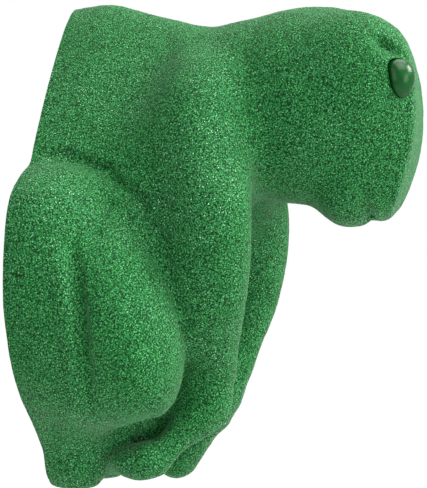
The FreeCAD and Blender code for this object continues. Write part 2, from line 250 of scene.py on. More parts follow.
def smooth(piece: Piece, edge_angle: float) -> None:
    """Shades a piece smooth, apart from edges sharper than an angle in degrees."""
    piece.data.shade_smooth()
    piece.data.set_sharp_from_angle(angle=math.radians(edge_angle))


def turned_piece(name: str, outline: Outline, sides: int, finish: Material, closed: bool = False) -> Piece:
    """Turns an outline into an upright piece, in millimetres and in its finish.

    Args:
        name: the piece's name.
        outline: what turned_mesh takes.
        sides: faces round the axis.
        finish: the piece's material.
        closed: whether the outline is a loop.

    Returns:
        The piece.
    """
    piece = new_piece(name, turned_mesh(name, outline, sides, closed))
    piece.data.materials.append(finish)
    return piece


def turned_ring(
    name: str, corners: list[tuple[float, float]], edge: float, sides: int, finish: Material
) -> Piece:
    """Turns a loop of corners, each rounded, into an upright ring in its finish."""
    outline = rounded([corners[-1], *corners, corners[0]], edge)[1:-1]
    return turned_piece(name, outline, sides, finish, closed=True)


def stand_off_wall(piece: Piece, height: float, edge_angle: float) -> Piece:
    """Points an upright piece straight out from the wall and shades it.

    Args:
        piece: the piece, in millimetres.
        height: its axis above the bolt's.
        edge_angle: the least angle of an edge that stays sharp, in degrees.

    Returns:
        The same piece, in metres.
    """
    piece.data.transform(off_wall(height))
    smooth(piece, edge_angle)
    return piece


def hand_over(piece: Piece, node: str, body: str) -> None:
    """Puts a finished piece in place of a node.

    Args:
        piece: the finished piece.
        node: the node that it stands for.
        body: the body that it rides on.
    """
    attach(piece, body)
    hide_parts(node)
    triangles = sum(len(polygon.vertices) - 2 for polygon in piece.data.polygons)
    LOG.info("%s stands for %s on %s, with %d triangles", piece.name, node, body, triangles)


# Node trees


@dataclass
class Graph:
    """A node tree while it is being built."""

    tree: NodeTree

    def add(self, kind: str, inputs: dict | None = None, **settings: object) -> Node:
        """Adds a node.

        Args:
            kind: the node's type.
            inputs: a value or an output to link, for each input by name or number.
            settings: the node's own properties.

        Returns:
            The new node.
        """
        node = self.tree.nodes.new(kind)
        for name, value in settings.items():
            setattr(node, name, value)
        for name, value in (inputs or {}).items():
            if isinstance(value, Socket):
                self.tree.links.new(value, node.inputs[name])
            else:
                node.inputs[name].default_value = value
        return node

    def socket(self, name: str, kind: str, default: float | None = None, output: bool = False) -> None:
        """Adds a named socket to the tree's interface.

        Args:
            name: the socket's name.
            kind: its type, after the word NodeSocket.
            default: its value where nothing sets it.
            output: whether it is an output.
        """
        way = "OUTPUT" if output else "INPUT"
        made = self.tree.interface.new_socket(name=name, in_out=way, socket_type=f"NodeSocket{kind}")
        if default is not None:
            made.default_value = default

    def math(self, operation: str, first: Value, second: Value) -> Socket:
        """Adds a Math node and gives its output."""
        return self.add("ShaderNodeMath", {0: first, 1: second}, operation=operation).outputs[0]

    def remap(self, value: Socket, low: Value, high: Value, start: Value = 0.0, end: Value = 1.0) -> Socket:
        """Adds a Map Range node that runs from one pair of values to another and gives its output."""
        return self.add("ShaderNodeMapRange", {0: value, 1: low, 2: high, 3: start, 4: end}).outputs[0]

    def mix(self, share: Value, first: object, second: object) -> Socket:
        """Adds a colour Mix node and gives its output."""
        return self.add("ShaderNodeMix", {0: share, 6: first, 7: second}, data_type="RGBA").outputs[2]

    def place(self) -> Socket:
        """Adds the object's own coordinates and gives their output."""
        return self.add("ShaderNodeTexCoord").outputs["Object"]

    def noise(self, place: Socket, scale: Value, detail: float, roughness: float = 0.5) -> Socket:
        """Adds a Noise Texture node and gives its value."""
        inputs = {"Vector": place, "Scale": scale, "Detail": detail, "Roughness": roughness}
        return self.add("ShaderNodeTexNoise", inputs).outputs[0]

    def group(self, effect: NodeTree, sizes: dict[str, float]) -> bpy.types.bpy_prop_collection:
        """Places a shader group with its sizes and gives its outputs."""
        return self.add("ShaderNodeGroup", sizes, node_tree=effect).outputs

    def feed(self, node: Node, name: str, output: Socket) -> None:
        """Links an output to a node's input."""
        self.tree.links.new(output, node.inputs[name])

    def bump(self, shader: Node, height: Socket, distance: float, strength: float) -> None:
        """Gives a shader a relief from a height, by a distance in metres."""
        bump = self.add("ShaderNodeBump", {"Height": height, "Distance": distance, "Strength": strength})
        self.feed(shader, "Normal", bump.outputs[0])

    def backdrop_share(self) -> Socket:
        """Adds the mask of rays that show the white backdrop: the camera's, and those of gloss and glass."""
        path = self.add("ShaderNodeLightPath").outputs
        seen = self.math("MAXIMUM", path["Is Camera Ray"], path["Is Glossy Ray"])
        return self.math("MAXIMUM", seen, path["Is Transmission Ray"])


def geometry_graph(
    name: str, defaults: dict[str, float | int], takes_mesh: bool = False
) -> tuple[Graph, bpy.types.bpy_prop_collection]:
    """Starts a Geometry Nodes tree with its named inputs.

    Args:
        name: the tree's name.
        defaults: each input's name and value, a whole number for a count.
        takes_mesh: whether it works on the mesh of the piece that carries it.

    Returns:
        The tree as a graph, and its inputs by name.
    """
    graph = Graph(bpy.data.node_groups.new(name, "GeometryNodeTree"))
    graph.tree.is_modifier = True
    graph.socket("Geometry", "Geometry", output=True)
    if takes_mesh:
        graph.socket("Geometry", "Geometry")
    for input_name, default in defaults.items():
        graph.socket(input_name, "Int" if isinstance(default, int) else "Float", default)
    graph.socket("Finish", "Material")
    return graph, graph.add("NodeGroupInput").outputs


def finish_geometry(graph: Graph, geometry: Socket, finish: Socket) -> NodeTree:
    """Ends a Geometry Nodes tree with Realize Instances and Set Material.

    Args:
        graph: the tree.
        geometry: what it has made.
        finish: its material input.

    Returns:
        The finished tree.
    """
    real = graph.add("GeometryNodeRealizeInstances", {"Geometry": geometry})
    dressed = graph.add("GeometryNodeSetMaterial", {"Geometry": real.outputs[0], "Material": finish})
    graph.add("NodeGroupOutput", {"Geometry": dressed.outputs[0]})
    return graph.tree


def run_tree(piece: Piece, tree: NodeTree, values: dict[str, object]) -> Piece:
    """Runs a Geometry Nodes tree on a piece and keeps the result as its plain mesh.

    Args:
        piece: the object that carries the tree.
        tree: the tree.
        values: a value for each of the tree's inputs, by name.

    Returns:
        The same object.
    """
    modifier = piece.modifiers.new(tree.name, "NODES")
    modifier.node_group = tree
    identifiers = {
        item.name: item.identifier
        for item in tree.interface.items_tree
        if item.item_type == "SOCKET" and item.in_out == "INPUT"
    }
    for name, value in values.items():
        modifier[identifiers[name]] = value
    return plain(piece)


def join_tree(piece: Piece, tree: NodeTree, values: dict[str, object], height: float) -> None:
    """Joins what a Geometry Nodes tree makes to an upright piece.

    Args:
        piece: the piece that it is joined to.
        tree: the tree, which takes no mesh.
        values: a value for each of the tree's inputs, by name.
        height: how far up it is set.
    """
    tool = run_tree(new_piece(tree.name, bpy.data.meshes.new(tree.name)), tree, values)
    tool.data.transform(Matrix.Translation((0, 0, height)))
    combine(piece, tool, "UNION")


def relief_tree() -> NodeTree:
    """Geometry Nodes tree that roughens a surface along its normals.

    Returns:
        The tree.
    """
    sizes = {"Lump Size": 0.004, "Lump Depth": 0.0002, "Grain Size": 0.001, "Grain Depth": 0.0001}
    graph, inputs = geometry_graph("casting_relief", {**sizes, "Seed": 7.0}, takes_mesh=True)
    depth = 0.0
    for kind in ("Lump", "Grain"):
        scale = graph.math("DIVIDE", 1.0, inputs[f"{kind} Size"])
        noise = graph.add(
            "ShaderNodeTexNoise", {"Scale": scale, "W": inputs["Seed"], "Detail": 1.0}, noise_dimensions="4D"
        )
        swing = graph.math("SUBTRACT", noise.outputs[0], 0.5)
        depth = graph.math("ADD", depth, graph.math("MULTIPLY", swing, inputs[f"{kind} Depth"]))
    normal = graph.add("GeometryNodeInputNormal").outputs[0]
    offset = graph.add("ShaderNodeVectorMath", {0: normal, "Scale": depth}, operation="SCALE").outputs[0]
    moved = graph.add("GeometryNodeSetPosition", {"Geometry": inputs["Geometry"], "Offset": offset})
    return finish_geometry(graph, moved.outputs[0], inputs["Finish"])


def thread_tree() -> NodeTree:
    """Geometry Nodes tree that winds a screw thread about Z, tapered at its lower end.

    Returns:
        The tree.
    """
    sizes = {"Radius": 4.0, "Pitch": 1.5, "Length": 30.0, "Depth": 0.7, "Tip Length": 1.0, "Tip Share": 0.9}
    graph, inputs = geometry_graph("screw_thread", {**sizes, "Steps": 24})
    spiral = graph.add(
        "GeometryNodeCurveSpiral",
        {
            "Resolution": inputs["Steps"],
            "Rotations": graph.math("DIVIDE", inputs["Length"], inputs["Pitch"]),
            "Start Radius": inputs["Radius"],
            "End Radius": inputs["Radius"],
            "Height": inputs["Length"],
        },
    )
    place = graph.add("ShaderNodeSeparateXYZ", {0: graph.add("GeometryNodeInputPosition").outputs[0]}).outputs
    share = graph.remap(place[2], 0.0, inputs["Tip Length"], inputs["Tip Share"], 1.0)
    across, along = (graph.math("MULTIPLY", place[axis], share) for axis in range(2))
    tapered = graph.add("ShaderNodeCombineXYZ", {0: across, 1: along, 2: place[2]}).outputs[0]
    line = graph.add("GeometryNodeSetPosition", {"Geometry": spiral.outputs[0], "Position": tapered})
    profile = graph.add("GeometryNodeCurvePrimitiveCircle", {"Resolution": 4, "Radius": inputs["Depth"]})
    curves = {"Curve": line.outputs[0], "Profile Curve": profile.outputs[0]}
    swept = graph.add("GeometryNodeCurveToMesh", {**curves, "Fill Caps": True})
    return finish_geometry(graph, swept.outputs[0], inputs["Finish"])


def ridge_tree() -> NodeTree:
    """Geometry Nodes tree that sets fine upright ridges round a cylinder.

    Returns:
        The tree.
    """
    graph, inputs = geometry_graph("grip_ridges", {"Radius": 7.6, "Height": 8.0, "Depth": 0.4, "Count": 48})
    ring = graph.add("GeometryNodeMeshCircle", {"Vertices": inputs["Count"], "Radius": inputs["Radius"]})
    ridge = graph.add(
        "GeometryNodeMeshCylinder", {"Vertices": 4, "Radius": inputs["Depth"], "Depth": inputs["Height"]}
    )
    outwards = graph.add("GeometryNodeInputPosition").outputs[0]
    turn = graph.add("FunctionNodeAlignRotationToVector", {"Vector": outwards}, axis="X", pivot_axis="Z")
    placed = graph.add(
        "GeometryNodeInstanceOnPoints",
        {"Points": ring.outputs[0], "Instance": ridge.outputs["Mesh"], "Rotation": turn.outputs[0]},
    )
    return finish_geometry(graph, placed.outputs[0], inputs["Finish"])


def lip_tree() -> NodeTree:
    """Geometry Nodes tree that lays a round bead along a line.

    Returns:
        The tree.
    """
    graph, inputs = geometry_graph("lip_bead", {"Radius": 0.0003, "Sides": 10}, takes_mesh=True)
    line = graph.add("GeometryNodeMeshToCurve", {"Mesh": inputs["Geometry"]}).outputs[0]
    circle = {"Resolution": inputs["Sides"], "Radius": inputs["Radius"]}
    profile = graph.add("GeometryNodeCurvePrimitiveCircle", circle).outputs[0]
    swept = graph.add("GeometryNodeCurveToMesh", {"Curve": line, "Profile Curve": profile})
    return finish_geometry(graph, swept.outputs[0], inputs["Finish"])


# Finishes


def effect_graph(
    name: str, sizes: dict[str, float], outputs: Sequence[str]
) -> tuple[Graph, bpy.types.bpy_prop_collection]:
    """Starts a shader group.

    Args:
        name: the group's name.
        sizes: each input's name and value.
        outputs: the names of its outputs.

    Returns:
        The group as a graph, and its inputs by name.
    """
    graph = Graph(bpy.data.node_groups.new(name, "ShaderNodeTree"))
    for size_name, default in sizes.items():
        graph.socket(size_name, "Float", default)
    for output_name in outputs:
        graph.socket(output_name, "Float", output=True)
    return graph, graph.add("NodeGroupInput").outputs


def grain_group() -> NodeTree:
    """Shader group of the sandy grain: height, painted shade in pits, painted light on crests and highlights,
    slow patches.

    Returns:
        The group.
    """
    # Pit levels set painted shade in the grain's hollows, and crest levels set painted light on its tops.
    pit_shade_levels, crest_light_levels, patch_levels = (0.52, 0.38), (0.56, 0.74), (0.38, 0.62)
    highlight_chances, highlight_reach, highlight_patches = (0.86, 0.94), (0.12, 0.34), (0.46, 0.60)
    cell_share, dome_reach, dome_share = 0.8, 0.9, 0.35
    outputs = ("Height", "Pit Shade", "Crest Light", "Painted Highlights", "Patches")
    graph, inputs = effect_graph("sandy_grain", {"Grain Size": 0.0006, "Patch Size": 0.03}, outputs)
    place = graph.place()
    scale = graph.math("DIVIDE", 1.0, inputs["Grain Size"])
    rough = graph.noise(place, scale, detail=2.0, roughness=0.6)
    cell_scale = graph.math("MULTIPLY", scale, cell_share)
    cells = graph.add("ShaderNodeTexVoronoi", {"Vector": place, "Scale": cell_scale}).outputs
    dome = graph.remap(cells["Distance"], 0.0, dome_reach, 1.0, 0.0)
    rough_part = graph.math("MULTIPLY", rough, 1 - dome_share)
    height = graph.math("ADD", rough_part, graph.math("MULTIPLY", dome, dome_share))
    slow = graph.noise(place, graph.math("DIVIDE", 1.0, inputs["Patch Size"]), detail=3.0)
    # Rare bright cells near their middles become painted highlight specks, gathered where the slow noise is
    # high.
    chance = graph.add("ShaderNodeSeparateColor", {0: cells["Color"]}).outputs[0]
    near = graph.remap(cells["Distance"], *highlight_reach, 1.0, 0.0)
    painted_highlights = graph.math("MULTIPLY", graph.remap(chance, *highlight_chances), near)
    graph.add(
        "NodeGroupOutput",
        {
            "Height": height,
            "Pit Shade": graph.remap(height, *pit_shade_levels),
            "Crest Light": graph.remap(height, *crest_light_levels),
            "Painted Highlights": graph.math("MULTIPLY", painted_highlights, graph.remap(slow, *highlight_patches)),
            "Patches": graph.remap(slow, *patch_levels),
        },
    )
    return graph.tree


def wear_group() -> NodeTree:
    """Shader group of handled steel: fine scratches, stains and their height.

    Returns:
        The group.
    """
    scratch_levels, stain_levels, scratch_depth, stretch = (0.58, 0.72), (0.4, 0.66), 0.3, 0.12
    sizes = {"Scratch Size": 0.0006, "Stain Size": 0.004}
    graph, inputs = effect_graph("handled_steel", sizes, ("Scratches", "Stains", "Height"))
    place = graph.place()
    stretched = graph.add("ShaderNodeMapping", {"Vector": place, "Scale": (1.0, stretch, 1.0)}).outputs[0]
    fine = graph.noise(stretched, graph.math("DIVIDE", 1.0, inputs["Scratch Size"]), detail=4.0)
    slow = graph.noise(place, graph.math("DIVIDE", 1.0, inputs["Stain Size"]), detail=3.0)
    scratches = graph.remap(fine, *scratch_levels)
    sunk = graph.math("MULTIPLY", scratches, scratch_depth)
    masks = {"Scratches": scratches, "Stains": graph.remap(slow, *stain_levels)}
    graph.add("NodeGroupOutput", {**masks, "Height": graph.math("SUBTRACT", fine, sunk)})
    return graph.tree


def new_material(name: str, settings: dict[str, object]) -> tuple[Material, Graph, Node]:
    """Starts a material with its Principled shader.

    Args:
        name: the material's name.
        settings: values for the shader's own sockets.

    Returns:
        The material, its graph and its shader node.
    """
    material = bpy.data.materials.new(name)
    material.use_nodes = True
    graph = Graph(material.node_tree)
    graph.tree.nodes.clear()
    shader = graph.add("ShaderNodeBsdfPrincipled", settings)
    graph.add("ShaderNodeOutputMaterial", {"Surface": shader.outputs[0]})
    return material, graph, shader


@dataclass(frozen=True)
class GrainFinish:
    """Finish of the cast polyurethane. Sizes are in metres."""

    name: str = "grained_polyurethane"
    body: Colour = (0.008, 0.115, 0.022, 1)
    # The pit colour is painted shade in the grain's hollows, and the crest colour is painted light on its
    # tops.
    pit_shade: Colour = (0.0010, 0.020, 0.004, 1)
    crest_light: Colour = (0.135, 0.400, 0.170, 1)
    # Colour of the painted highlight specks.
    painted_highlight: Colour = (0.60, 0.74, 0.60, 1)
    patch: Colour = (0.014, 0.128, 0.031, 1)
    grain_size: float = 0.00040
    patch_size: float = 0.03
    bump: float = 0.00040
    bump_share: float = 0.85
    painted_highlight_share: float = 0.8
    sheen: float = 0.07

    def build(self, grain: NodeTree) -> Material:
        """Makes the material.

        Args:
            grain: the shader group of the grain.

        Returns:
            The material.
        """
        settings = {
            "Roughness": 0.72,
            "Specular IOR Level": 0.09,
            "Sheen Weight": self.sheen,
            "Sheen Roughness": 0.45,
            "Sheen Tint": (0.82, 1.0, 0.84, 1),
        }
        material, graph, shader = new_material(self.name, settings)
        masks = graph.group(grain, {"Grain Size": self.grain_size, "Patch Size": self.patch_size})
        ground = graph.mix(masks["Patches"], self.body, self.patch)
        # Painted shade darkens the grain's pits, and painted light brightens its crests.
        shaded_pits = graph.mix(masks["Pit Shade"], ground, self.pit_shade)
        lit_crests = graph.mix(masks["Crest Light"], shaded_pits, self.crest_light)
        # Painted highlight specks are mixed into the colour.
        highlight_amount = graph.math("MULTIPLY", masks["Painted Highlights"], self.painted_highlight_share)
        graph.feed(shader, "Base Color", graph.mix(highlight_amount, lit_crests, self.painted_highlight))
        graph.bump(shader, masks["Height"], self.bump, self.bump_share)
        return material


@dataclass(frozen=True)
class BeadFinish:
    """Finish of the smooth moulded eye bead. Sizes are in metres."""

    name: str = "glossy_green_bead"
    body: Colour = (0.0020, 0.052, 0.008, 1)
    deep: Colour = (0.0014, 0.034, 0.005, 1)
    cloud_size: float = 0.004
    cloud_levels: tuple[float, float] = (0.35, 0.7)
    bump: float = 0.00004
    bump_share: float = 0.4

    def build(self) -> Material:
        """Makes the material.

        Returns:
            The material.
        """
        material, graph, shader = new_material(self.name, {"Roughness": 0.24, "Specular IOR Level": 0.15})
        clouds = graph.noise(graph.place(), 1 / self.cloud_size, detail=2.0)
        share = graph.remap(clouds, *self.cloud_levels)
        graph.feed(shader, "Base Color", graph.mix(share, self.body, self.deep))
        graph.bump(shader, clouds, self.bump, self.bump_share)
        return material


@dataclass(frozen=True)
class SteelFinish:
    """Finish of a plated or blackened steel piece. Sizes are in metres."""

    coat: Coat
    body: Colour
    stain: Colour
    scratch: Colour
    roughness: float
    stain_roughness: float = 0.14
    scratch_share: float = 0.55
    scratch_size: float = 0.0006
    stain_size: float = 0.004
    bump: float = 0.00003
    bump_share: float = 0.5

    def build(self, wear: NodeTree) -> Material:
        """Makes the material.

        Args:
            wear: the shader group of handled steel.

        Returns:
            The material.
        """
        material, graph, shader = new_material(f"{self.coat.value}_steel", {"Metallic": 1.0})
        masks = graph.group(wear, {"Scratch Size": self.scratch_size, "Stain Size": self.stain_size})
        ground = graph.mix(masks["Stains"], self.body, self.stain)
        bare = graph.math("MULTIPLY", masks["Scratches"], self.scratch_share)
        graph.feed(shader, "Base Color", graph.mix(bare, ground, self.scratch))
        roughest = self.roughness + self.stain_roughness
        graph.feed(shader, "Roughness", graph.remap(masks["Stains"], 0.0, 1.0, self.roughness, roughest))
        graph.bump(shader, masks["Height"], self.bump, self.bump_share)
        return material


STEEL_FINISHES = (
    SteelFinish(
        Coat.BLACK_OXIDE, (0.035, 0.036, 0.040, 1), (0.022, 0.021, 0.022, 1), (0.22, 0.22, 0.23, 1), 0.36
    ),
    SteelFinish(Coat.ZINC, (0.62, 0.65, 0.69, 1), (0.45, 0.48, 0.52, 1), (0.80, 0.81, 0.83, 1), 0.27),
    SteelFinish(Coat.YELLOW_ZINC, (0.66, 0.52, 0.24, 1), (0.50, 0.40, 0.24, 1), (0.76, 0.70, 0.55, 1), 0.30),
)


# Forms of the casting


def join(first: np.ndarray, second: np.ndarray, fillet: float | np.ndarray) -> np.ndarray:
    """Joins two distances with a fillet."""
    share = np.clip(0.5 + 0.5 * (second - first) / fillet, 0.0, 1.0)
    return second + (first - second) * share - fillet * share * (1.0 - share)


def meet(first: np.ndarray, second: np.ndarray, fillet: float) -> np.ndarray:
    """Keeps what two forms share, with a rounded edge."""
    return -join(-first, -second, fillet)


def spline(
    before: np.ndarray, start: np.ndarray, end: np.ndarray, after: np.ndarray, share: float
) -> np.ndarray:
    """Point of a smooth curve through four others.

    Args:
        before: the point before the start.
        start: where the stretch starts.
        end: where it ends.
        after: the point after the end.
        share: how far along the stretch the wanted point lies.

    Returns:
        The point.
    """
    straight = 2 * start + (end - before) * share
    square = (2 * before - 5 * start + 4 * end - after) * share**2
    cube = (3 * start - before - 3 * end + after) * share**3
    return 0.5 * (straight + square + cube)


def smooth_rows(knots: Sequence[Sequence[float]], steps: int) -> np.ndarray:
    """Rows of numbers with smooth steps put in between them.

    Args:
        knots: the rows.
        steps: how many steps each gap is parted into.

    Returns:
        The longer table.
    """
    table = np.array(knots, np.float32)
    padded = np.vstack([2 * table[0] - table[1], table, 2 * table[-1] - table[-2]])
    rows = [spline(*padded[n : n + 4], step / steps) for n in range(len(table) - 1) for step in range(steps)]
    return np.array([*rows, table[-1]])


def oval(shares: Sequence[np.ndarray], radii: Sequence[np.ndarray | float]) -> np.ndarray:
    """Distance to an oval line or an ellipsoid.

    Args:
        shares: each point's place along every axis, in radii of that axis.
        radii: the radius on every axis.

    Returns:
        The distances, below zero inside.
    """
    near = np.sqrt(sum(share * share for share in shares))
    steep = np.sqrt(sum((share / radius) ** 2 for share, radius in zip(shares, radii))) + TINY
    return near * (near - 1.0) / steep


def capped(flat: np.ndarray, beyond: np.ndarray) -> np.ndarray:
    """Distance to a form from that to its sides and how far past its ends each point lies."""
    return np.where(beyond > 0, np.hypot(np.maximum(flat, 0.0), beyond), flat)


def turn_by(angle: float, first: np.ndarray, second: np.ndarray) -> tuple[np.ndarray, np.ndarray]:
    """Turns two coordinates by an angle in degrees."""
    cosine, sine = math.cos(math.radians(angle)), math.sin(math.radians(angle))
    return first * cosine - second * sine, first * sine + second * cosine


@dataclass(frozen=True)
class Lump:
    """Ellipsoid. Tip turns it seen from the side, in degrees, with its top going out."""

    middle: Place
    radii: Place
    fillet: float = 8.0
    tip: float = 0.0

    def distance(self, points: np.ndarray) -> np.ndarray:
        """Distance of each point to the surface.

        Args:
            points: rows of side, out and up.

        Returns:
            The distances, below zero inside.
        """
        side, out, up = (points[:, axis] - self.middle[axis] for axis in range(3))
        if self.tip:
            out, up = turn_by(self.tip, out, up)
        return oval([part / radius for part, radius in zip((side, out, up), self.radii)], self.radii)


@dataclass(frozen=True)
class Torso:
    """Torso as upright sections. Each knot holds out, top, bottom, half width and the shares by which the
    section narrows towards its top and towards its bottom."""

    knots: tuple[tuple[float, float, float, float, float, float], ...] = (
        (0, 92.6, -56.5, 45.0, 0.50, 0.35),
        (12, 93.5, -55.0, 41.9, 0.44, 0.25),
        (24, 90.2, -51.9, 38.7, 0.36, 0.15),
        (34, 87.5, -45.1, 33.8, 0.20, 0.05),
        (40, 85.8, -33.7, 30.2, -0.05, 0.05),
        (45, 85.0, -7.8, 27.9, -0.06, 0.10),
        (50, 84.8, 12.0, 26.4, 0.0, 0.25),
        (56, 84.6, 27.0, 23.5, 0.0, 0.1),
        (62, 82.0, 38.0, 18.0, 0.0, 0.0),
        (66, 76.0, 47.0, 9.0, 0.0, 0.0),
    )
    steps: int = 8
    rise_limit: float = 1.2

    def distance(self, points: np.ndarray) -> np.ndarray:
        """Distance of each point to the surface.

        Args:
            points: rows of side, out and up.

        Returns:
            The distances, below zero inside.
        """
        rows = smooth_rows(self.knots, self.steps)
        out = points[:, 1]
        top, bottom, wide, to_top, to_bottom = (np.interp(out, rows[:, 0], rows[:, n]) for n in range(1, 6))
        half = (top - bottom) / 2
        rise = (points[:, 2] - (top + bottom) / 2) / half
        bounded = np.clip(rise, -self.rise_limit, self.rise_limit)
        wide = wide * (1 - np.where(bounded > 0, to_top, -to_bottom) * bounded)
        across = points[:, 0] / wide
        return capped(oval((across, rise), (wide, half)), np.maximum(out - rows[-1, 0], 0.0))


@dataclass(frozen=True)
class Column:
    """Upright oval limb. Each knot holds up, side, out, half width and half length, from the top down."""

    knots: tuple[tuple[float, float, float, float, float], ...]
    fillet: float = 6.0
    steps: int = 8

    def distance(self, points: np.ndarray) -> np.ndarray:
        """Distance of each point to the surface.

        Args:
            points: rows of side, out and up.

        Returns:
            The distances, below zero inside.
        """
        rows = smooth_rows(self.knots, self.steps)[::-1]
        up = points[:, 2]
        side, out, wide, long = (np.interp(up, rows[:, 0], rows[:, column]) for column in (1, 2, 3, 4))
        flat = oval(((points[:, 0] - side) / wide, (points[:, 1] - out) / long), (wide, long))
        return capped(flat, np.maximum(np.maximum(up - rows[-1, 0], rows[0, 0] - up), 0.0))


@dataclass(frozen=True)
class Bar:
    """Round bar between two points, with a radius at each end."""

    start: Place
    end: Place
    start_radius: float
    end_radius: float
    fillet: float = 4.0

    def distance(self, points: np.ndarray) -> np.ndarray:
        """Distance of each point to the surface.

        Args:
            points: rows of side, out and up.

        Returns:
            The distances, below zero inside.
        """
        start = np.array(self.start, np.float32)
        along = np.subtract(self.end, self.start).astype(np.float32)
        share = np.clip((points - start) @ along / float(along @ along), 0.0, 1.0)
        gap = np.linalg.norm(points - start - share[:, None] * along, axis=1)
        return gap - (self.start_radius + share * (self.end_radius - self.start_radius))


@dataclass(frozen=True)
class Crease:
    """Narrow valley along a line of out and up places, pressed into whatever surface it crosses."""

    line: tuple[tuple[float, float], ...]
    depths: tuple[float, ...]
    width: float
    side_from: float = 0.0

    def depth(self, points: np.ndarray) -> np.ndarray:
        """How deep the surface is pressed in.

        Args:
            points: rows of side, out and up.

        Returns:
            The depth at each point, below zero on a ridge.
        """
        nearest = np.full(len(points), np.inf, np.float32)
        depth = np.zeros(len(points), np.float32)
        stretches = zip(self.line, self.line[1:], self.depths, self.depths[1:])
        for start, end, deep, deeper in stretches:
            run = np.subtract(end, start).astype(np.float32)
            away = points[:, 1:] - np.array(start, np.float32)
            share = np.clip(away @ run / float(run @ run), 0.0, 1.0)
            gap = np.linalg.norm(away - share[:, None] * run, axis=1)
            nearer = gap < nearest
            nearest = np.where(nearer, gap, nearest)
            depth = np.where(nearer, deep + share * (deeper - deep), depth)
        beside = np.clip((points[:, 0] - self.side_from) / self.width, 0.0, 1.0)
        return depth * np.exp(-((nearest / self.width) ** 2)) * beside


@dataclass(frozen=True)
class Skull:
    """Head with a blunt curved face, two brows and a chin."""

    lumps: tuple[Lump, ...] = (
        Lump((0, 76.5, 59.8), (26.2, 39.8, 30)),
        Lump((0, 94, 47.4), (17, 21.5, 23), 6),
        Lump((0, 87.5, 36.4), (15, 10, 13.2), 4),
        Lump((13.5, 90.5, 66.8), (12, 16.5, 17.6), 6),
    )
    brow_gap: float = 6.0
    brow_depth: float = 1.6
    brow_start: float = 84.0
    brow_rise: float = 10.0
    brow_level: float = 62.0
    face_out: float = 44.0
    face_up: float = 57.0
    face_radius: float = 64.75
    face_fillet: float = 1.6

    def distance(self, points: np.ndarray) -> np.ndarray:
        """Distance of each point to the surface.

        Args:
            points: rows of side, out and up.

        Returns:
            The distances, below zero inside.
        """
        clay = self.lumps[0].distance(points)
        for lump in self.lumps[1:]:
            clay = join(clay, lump.distance(points), lump.fillet)
        ahead = np.clip((points[:, 1] - self.brow_start) / self.brow_rise, 0.0, 1.0)
        above = np.clip((points[:, 2] - self.brow_level) / self.brow_rise, 0.0, 1.0)
        clay = clay + self.brow_depth * ahead * above * np.exp(-((points[:, 0] / self.brow_gap) ** 2))
        face = np.hypot(points[:, 1] - self.face_out, points[:, 2] - self.face_up) - self.face_radius
        return meet(clay, face, self.face_fillet)


@dataclass(frozen=True)
class Hindleg:
    """Folded hind leg: the thigh and its forward lobe, the haunch by the wall and the foot."""

    thigh: Lump = Lump((31, 12.6, 1.0), (22, 26.6, 41.4), tip=-33)
    lobe: Lump = Lump((33, 29.5, -6), (18, 13, 29), 5, tip=-16)
    haunch: Column = Column(
        (
            (39.5, 29, 5, 6, 9),
            (37, 29.5, 5, 11, 13),
            (33, 30.5, 4.7, 16.2, 17),
            (27, 31.7, 4.4, 20.4, 19.5),
            (16, 33.2, 4, 21.3, 20.5),
            (0, 33.2, 4.2, 20.9, 20.8),
            (-12, 31.2, 4.6, 18.4, 19.8),
            (-18, 29.5, 4.9, 16.6, 18.5),
            (-25, 26.5, 5.2, 14.4, 16.8),
            (-37, 19.5, 5.8, 11.2, 13.6),
            (-47, 13.5, 6.5, 8.4, 11.0),
            (-52, 11.5, 6.5, 6.6, 9.0),
            (-55, 11.5, 6.5, 4.0, 6.0),
        )
    )
    foot: Lump = Lump((12, 6.5, -49.6), (8.3, 10.5, 7.8), 6)
    haunch_levels: tuple[float, ...] = (-30, -12, 5, 24)
    haunch_fillets: tuple[float, ...] = (14, 7, 5, 4)

    def distance(self, points: np.ndarray) -> np.ndarray:
        """Distance of each point to the surface.

        Args:
            points: rows of side, out and up.

        Returns:
            The distances, below zero inside.
        """
        clay = join(self.thigh.distance(points), self.lobe.distance(points), self.lobe.fillet)
        fillet = np.interp(points[:, 2], self.haunch_levels, self.haunch_fillets)
        clay = join(clay, self.haunch.distance(points), fillet)
        return join(clay, self.foot.distance(points), self.foot.fillet)


@dataclass(frozen=True)
class Foreleg:
    """Foreleg from the shoulder to the wrist, bowed at the elbow, with a paw of its own on each side."""

    shoulder: Lump = Lump((16, 46, 44.3), (20, 18, 27), 8)
    flank: Lump = Lump((22, 37, 18.3), (12, 19, 34), 8, tip=-8)
    limb: Column = Column(
        (
            (62, 16, 46, 4, 5),
            (53, 20, 48, 8, 9),
            (42, 25.5, 50, 10.4, 11.4),
            (30, 29.5, 51.6, 11.0, 12.2),
            (20, 29.3, 52, 10.8, 12.0),
            (12, 27.5, 52, 10.4, 11.6),
            (3, 25, 51.2, 10.0, 11.1),
            (-5, 22.2, 50.0, 9.5, 10.6),
            (-14, 16.4, 48.2, 8.7, 9.8),
            (-23, 11, 46.9, 8.0, 9.2),
            (-31, 9, 45.0, 7.2, 7.6),
            (-37, 9, 43.5, 4.0, 4.5),
        )
    )
    wrist: Bar = Bar((9, 45.6, -30), (11, 43.5, -34), 7.2, 6.8)
    right_paw: Bar = Bar((9.5, 46.8, -30.5), (14.5, 37.8, -41.2), 7.4, 4.2, 3)
    right_toe: Lump = Lump((17.5, 29, -47), (6.5, 9, 6.4), 4)
    right_edge: Bar = Bar((8.5, 52.0, -34.5), (13.5, 41.5, -40.9), 1.8, 1.7, 2.5)
    right_toe_edge: Bar = Bar((13.5, 41.5, -40.9), (17.5, 35.4, -49), 1.7, 1.7, 2.5)
    left_paw: Bar = Bar((-10, 43, -35.5), (-16, 31, -50), 5.8, 7.2, 3)


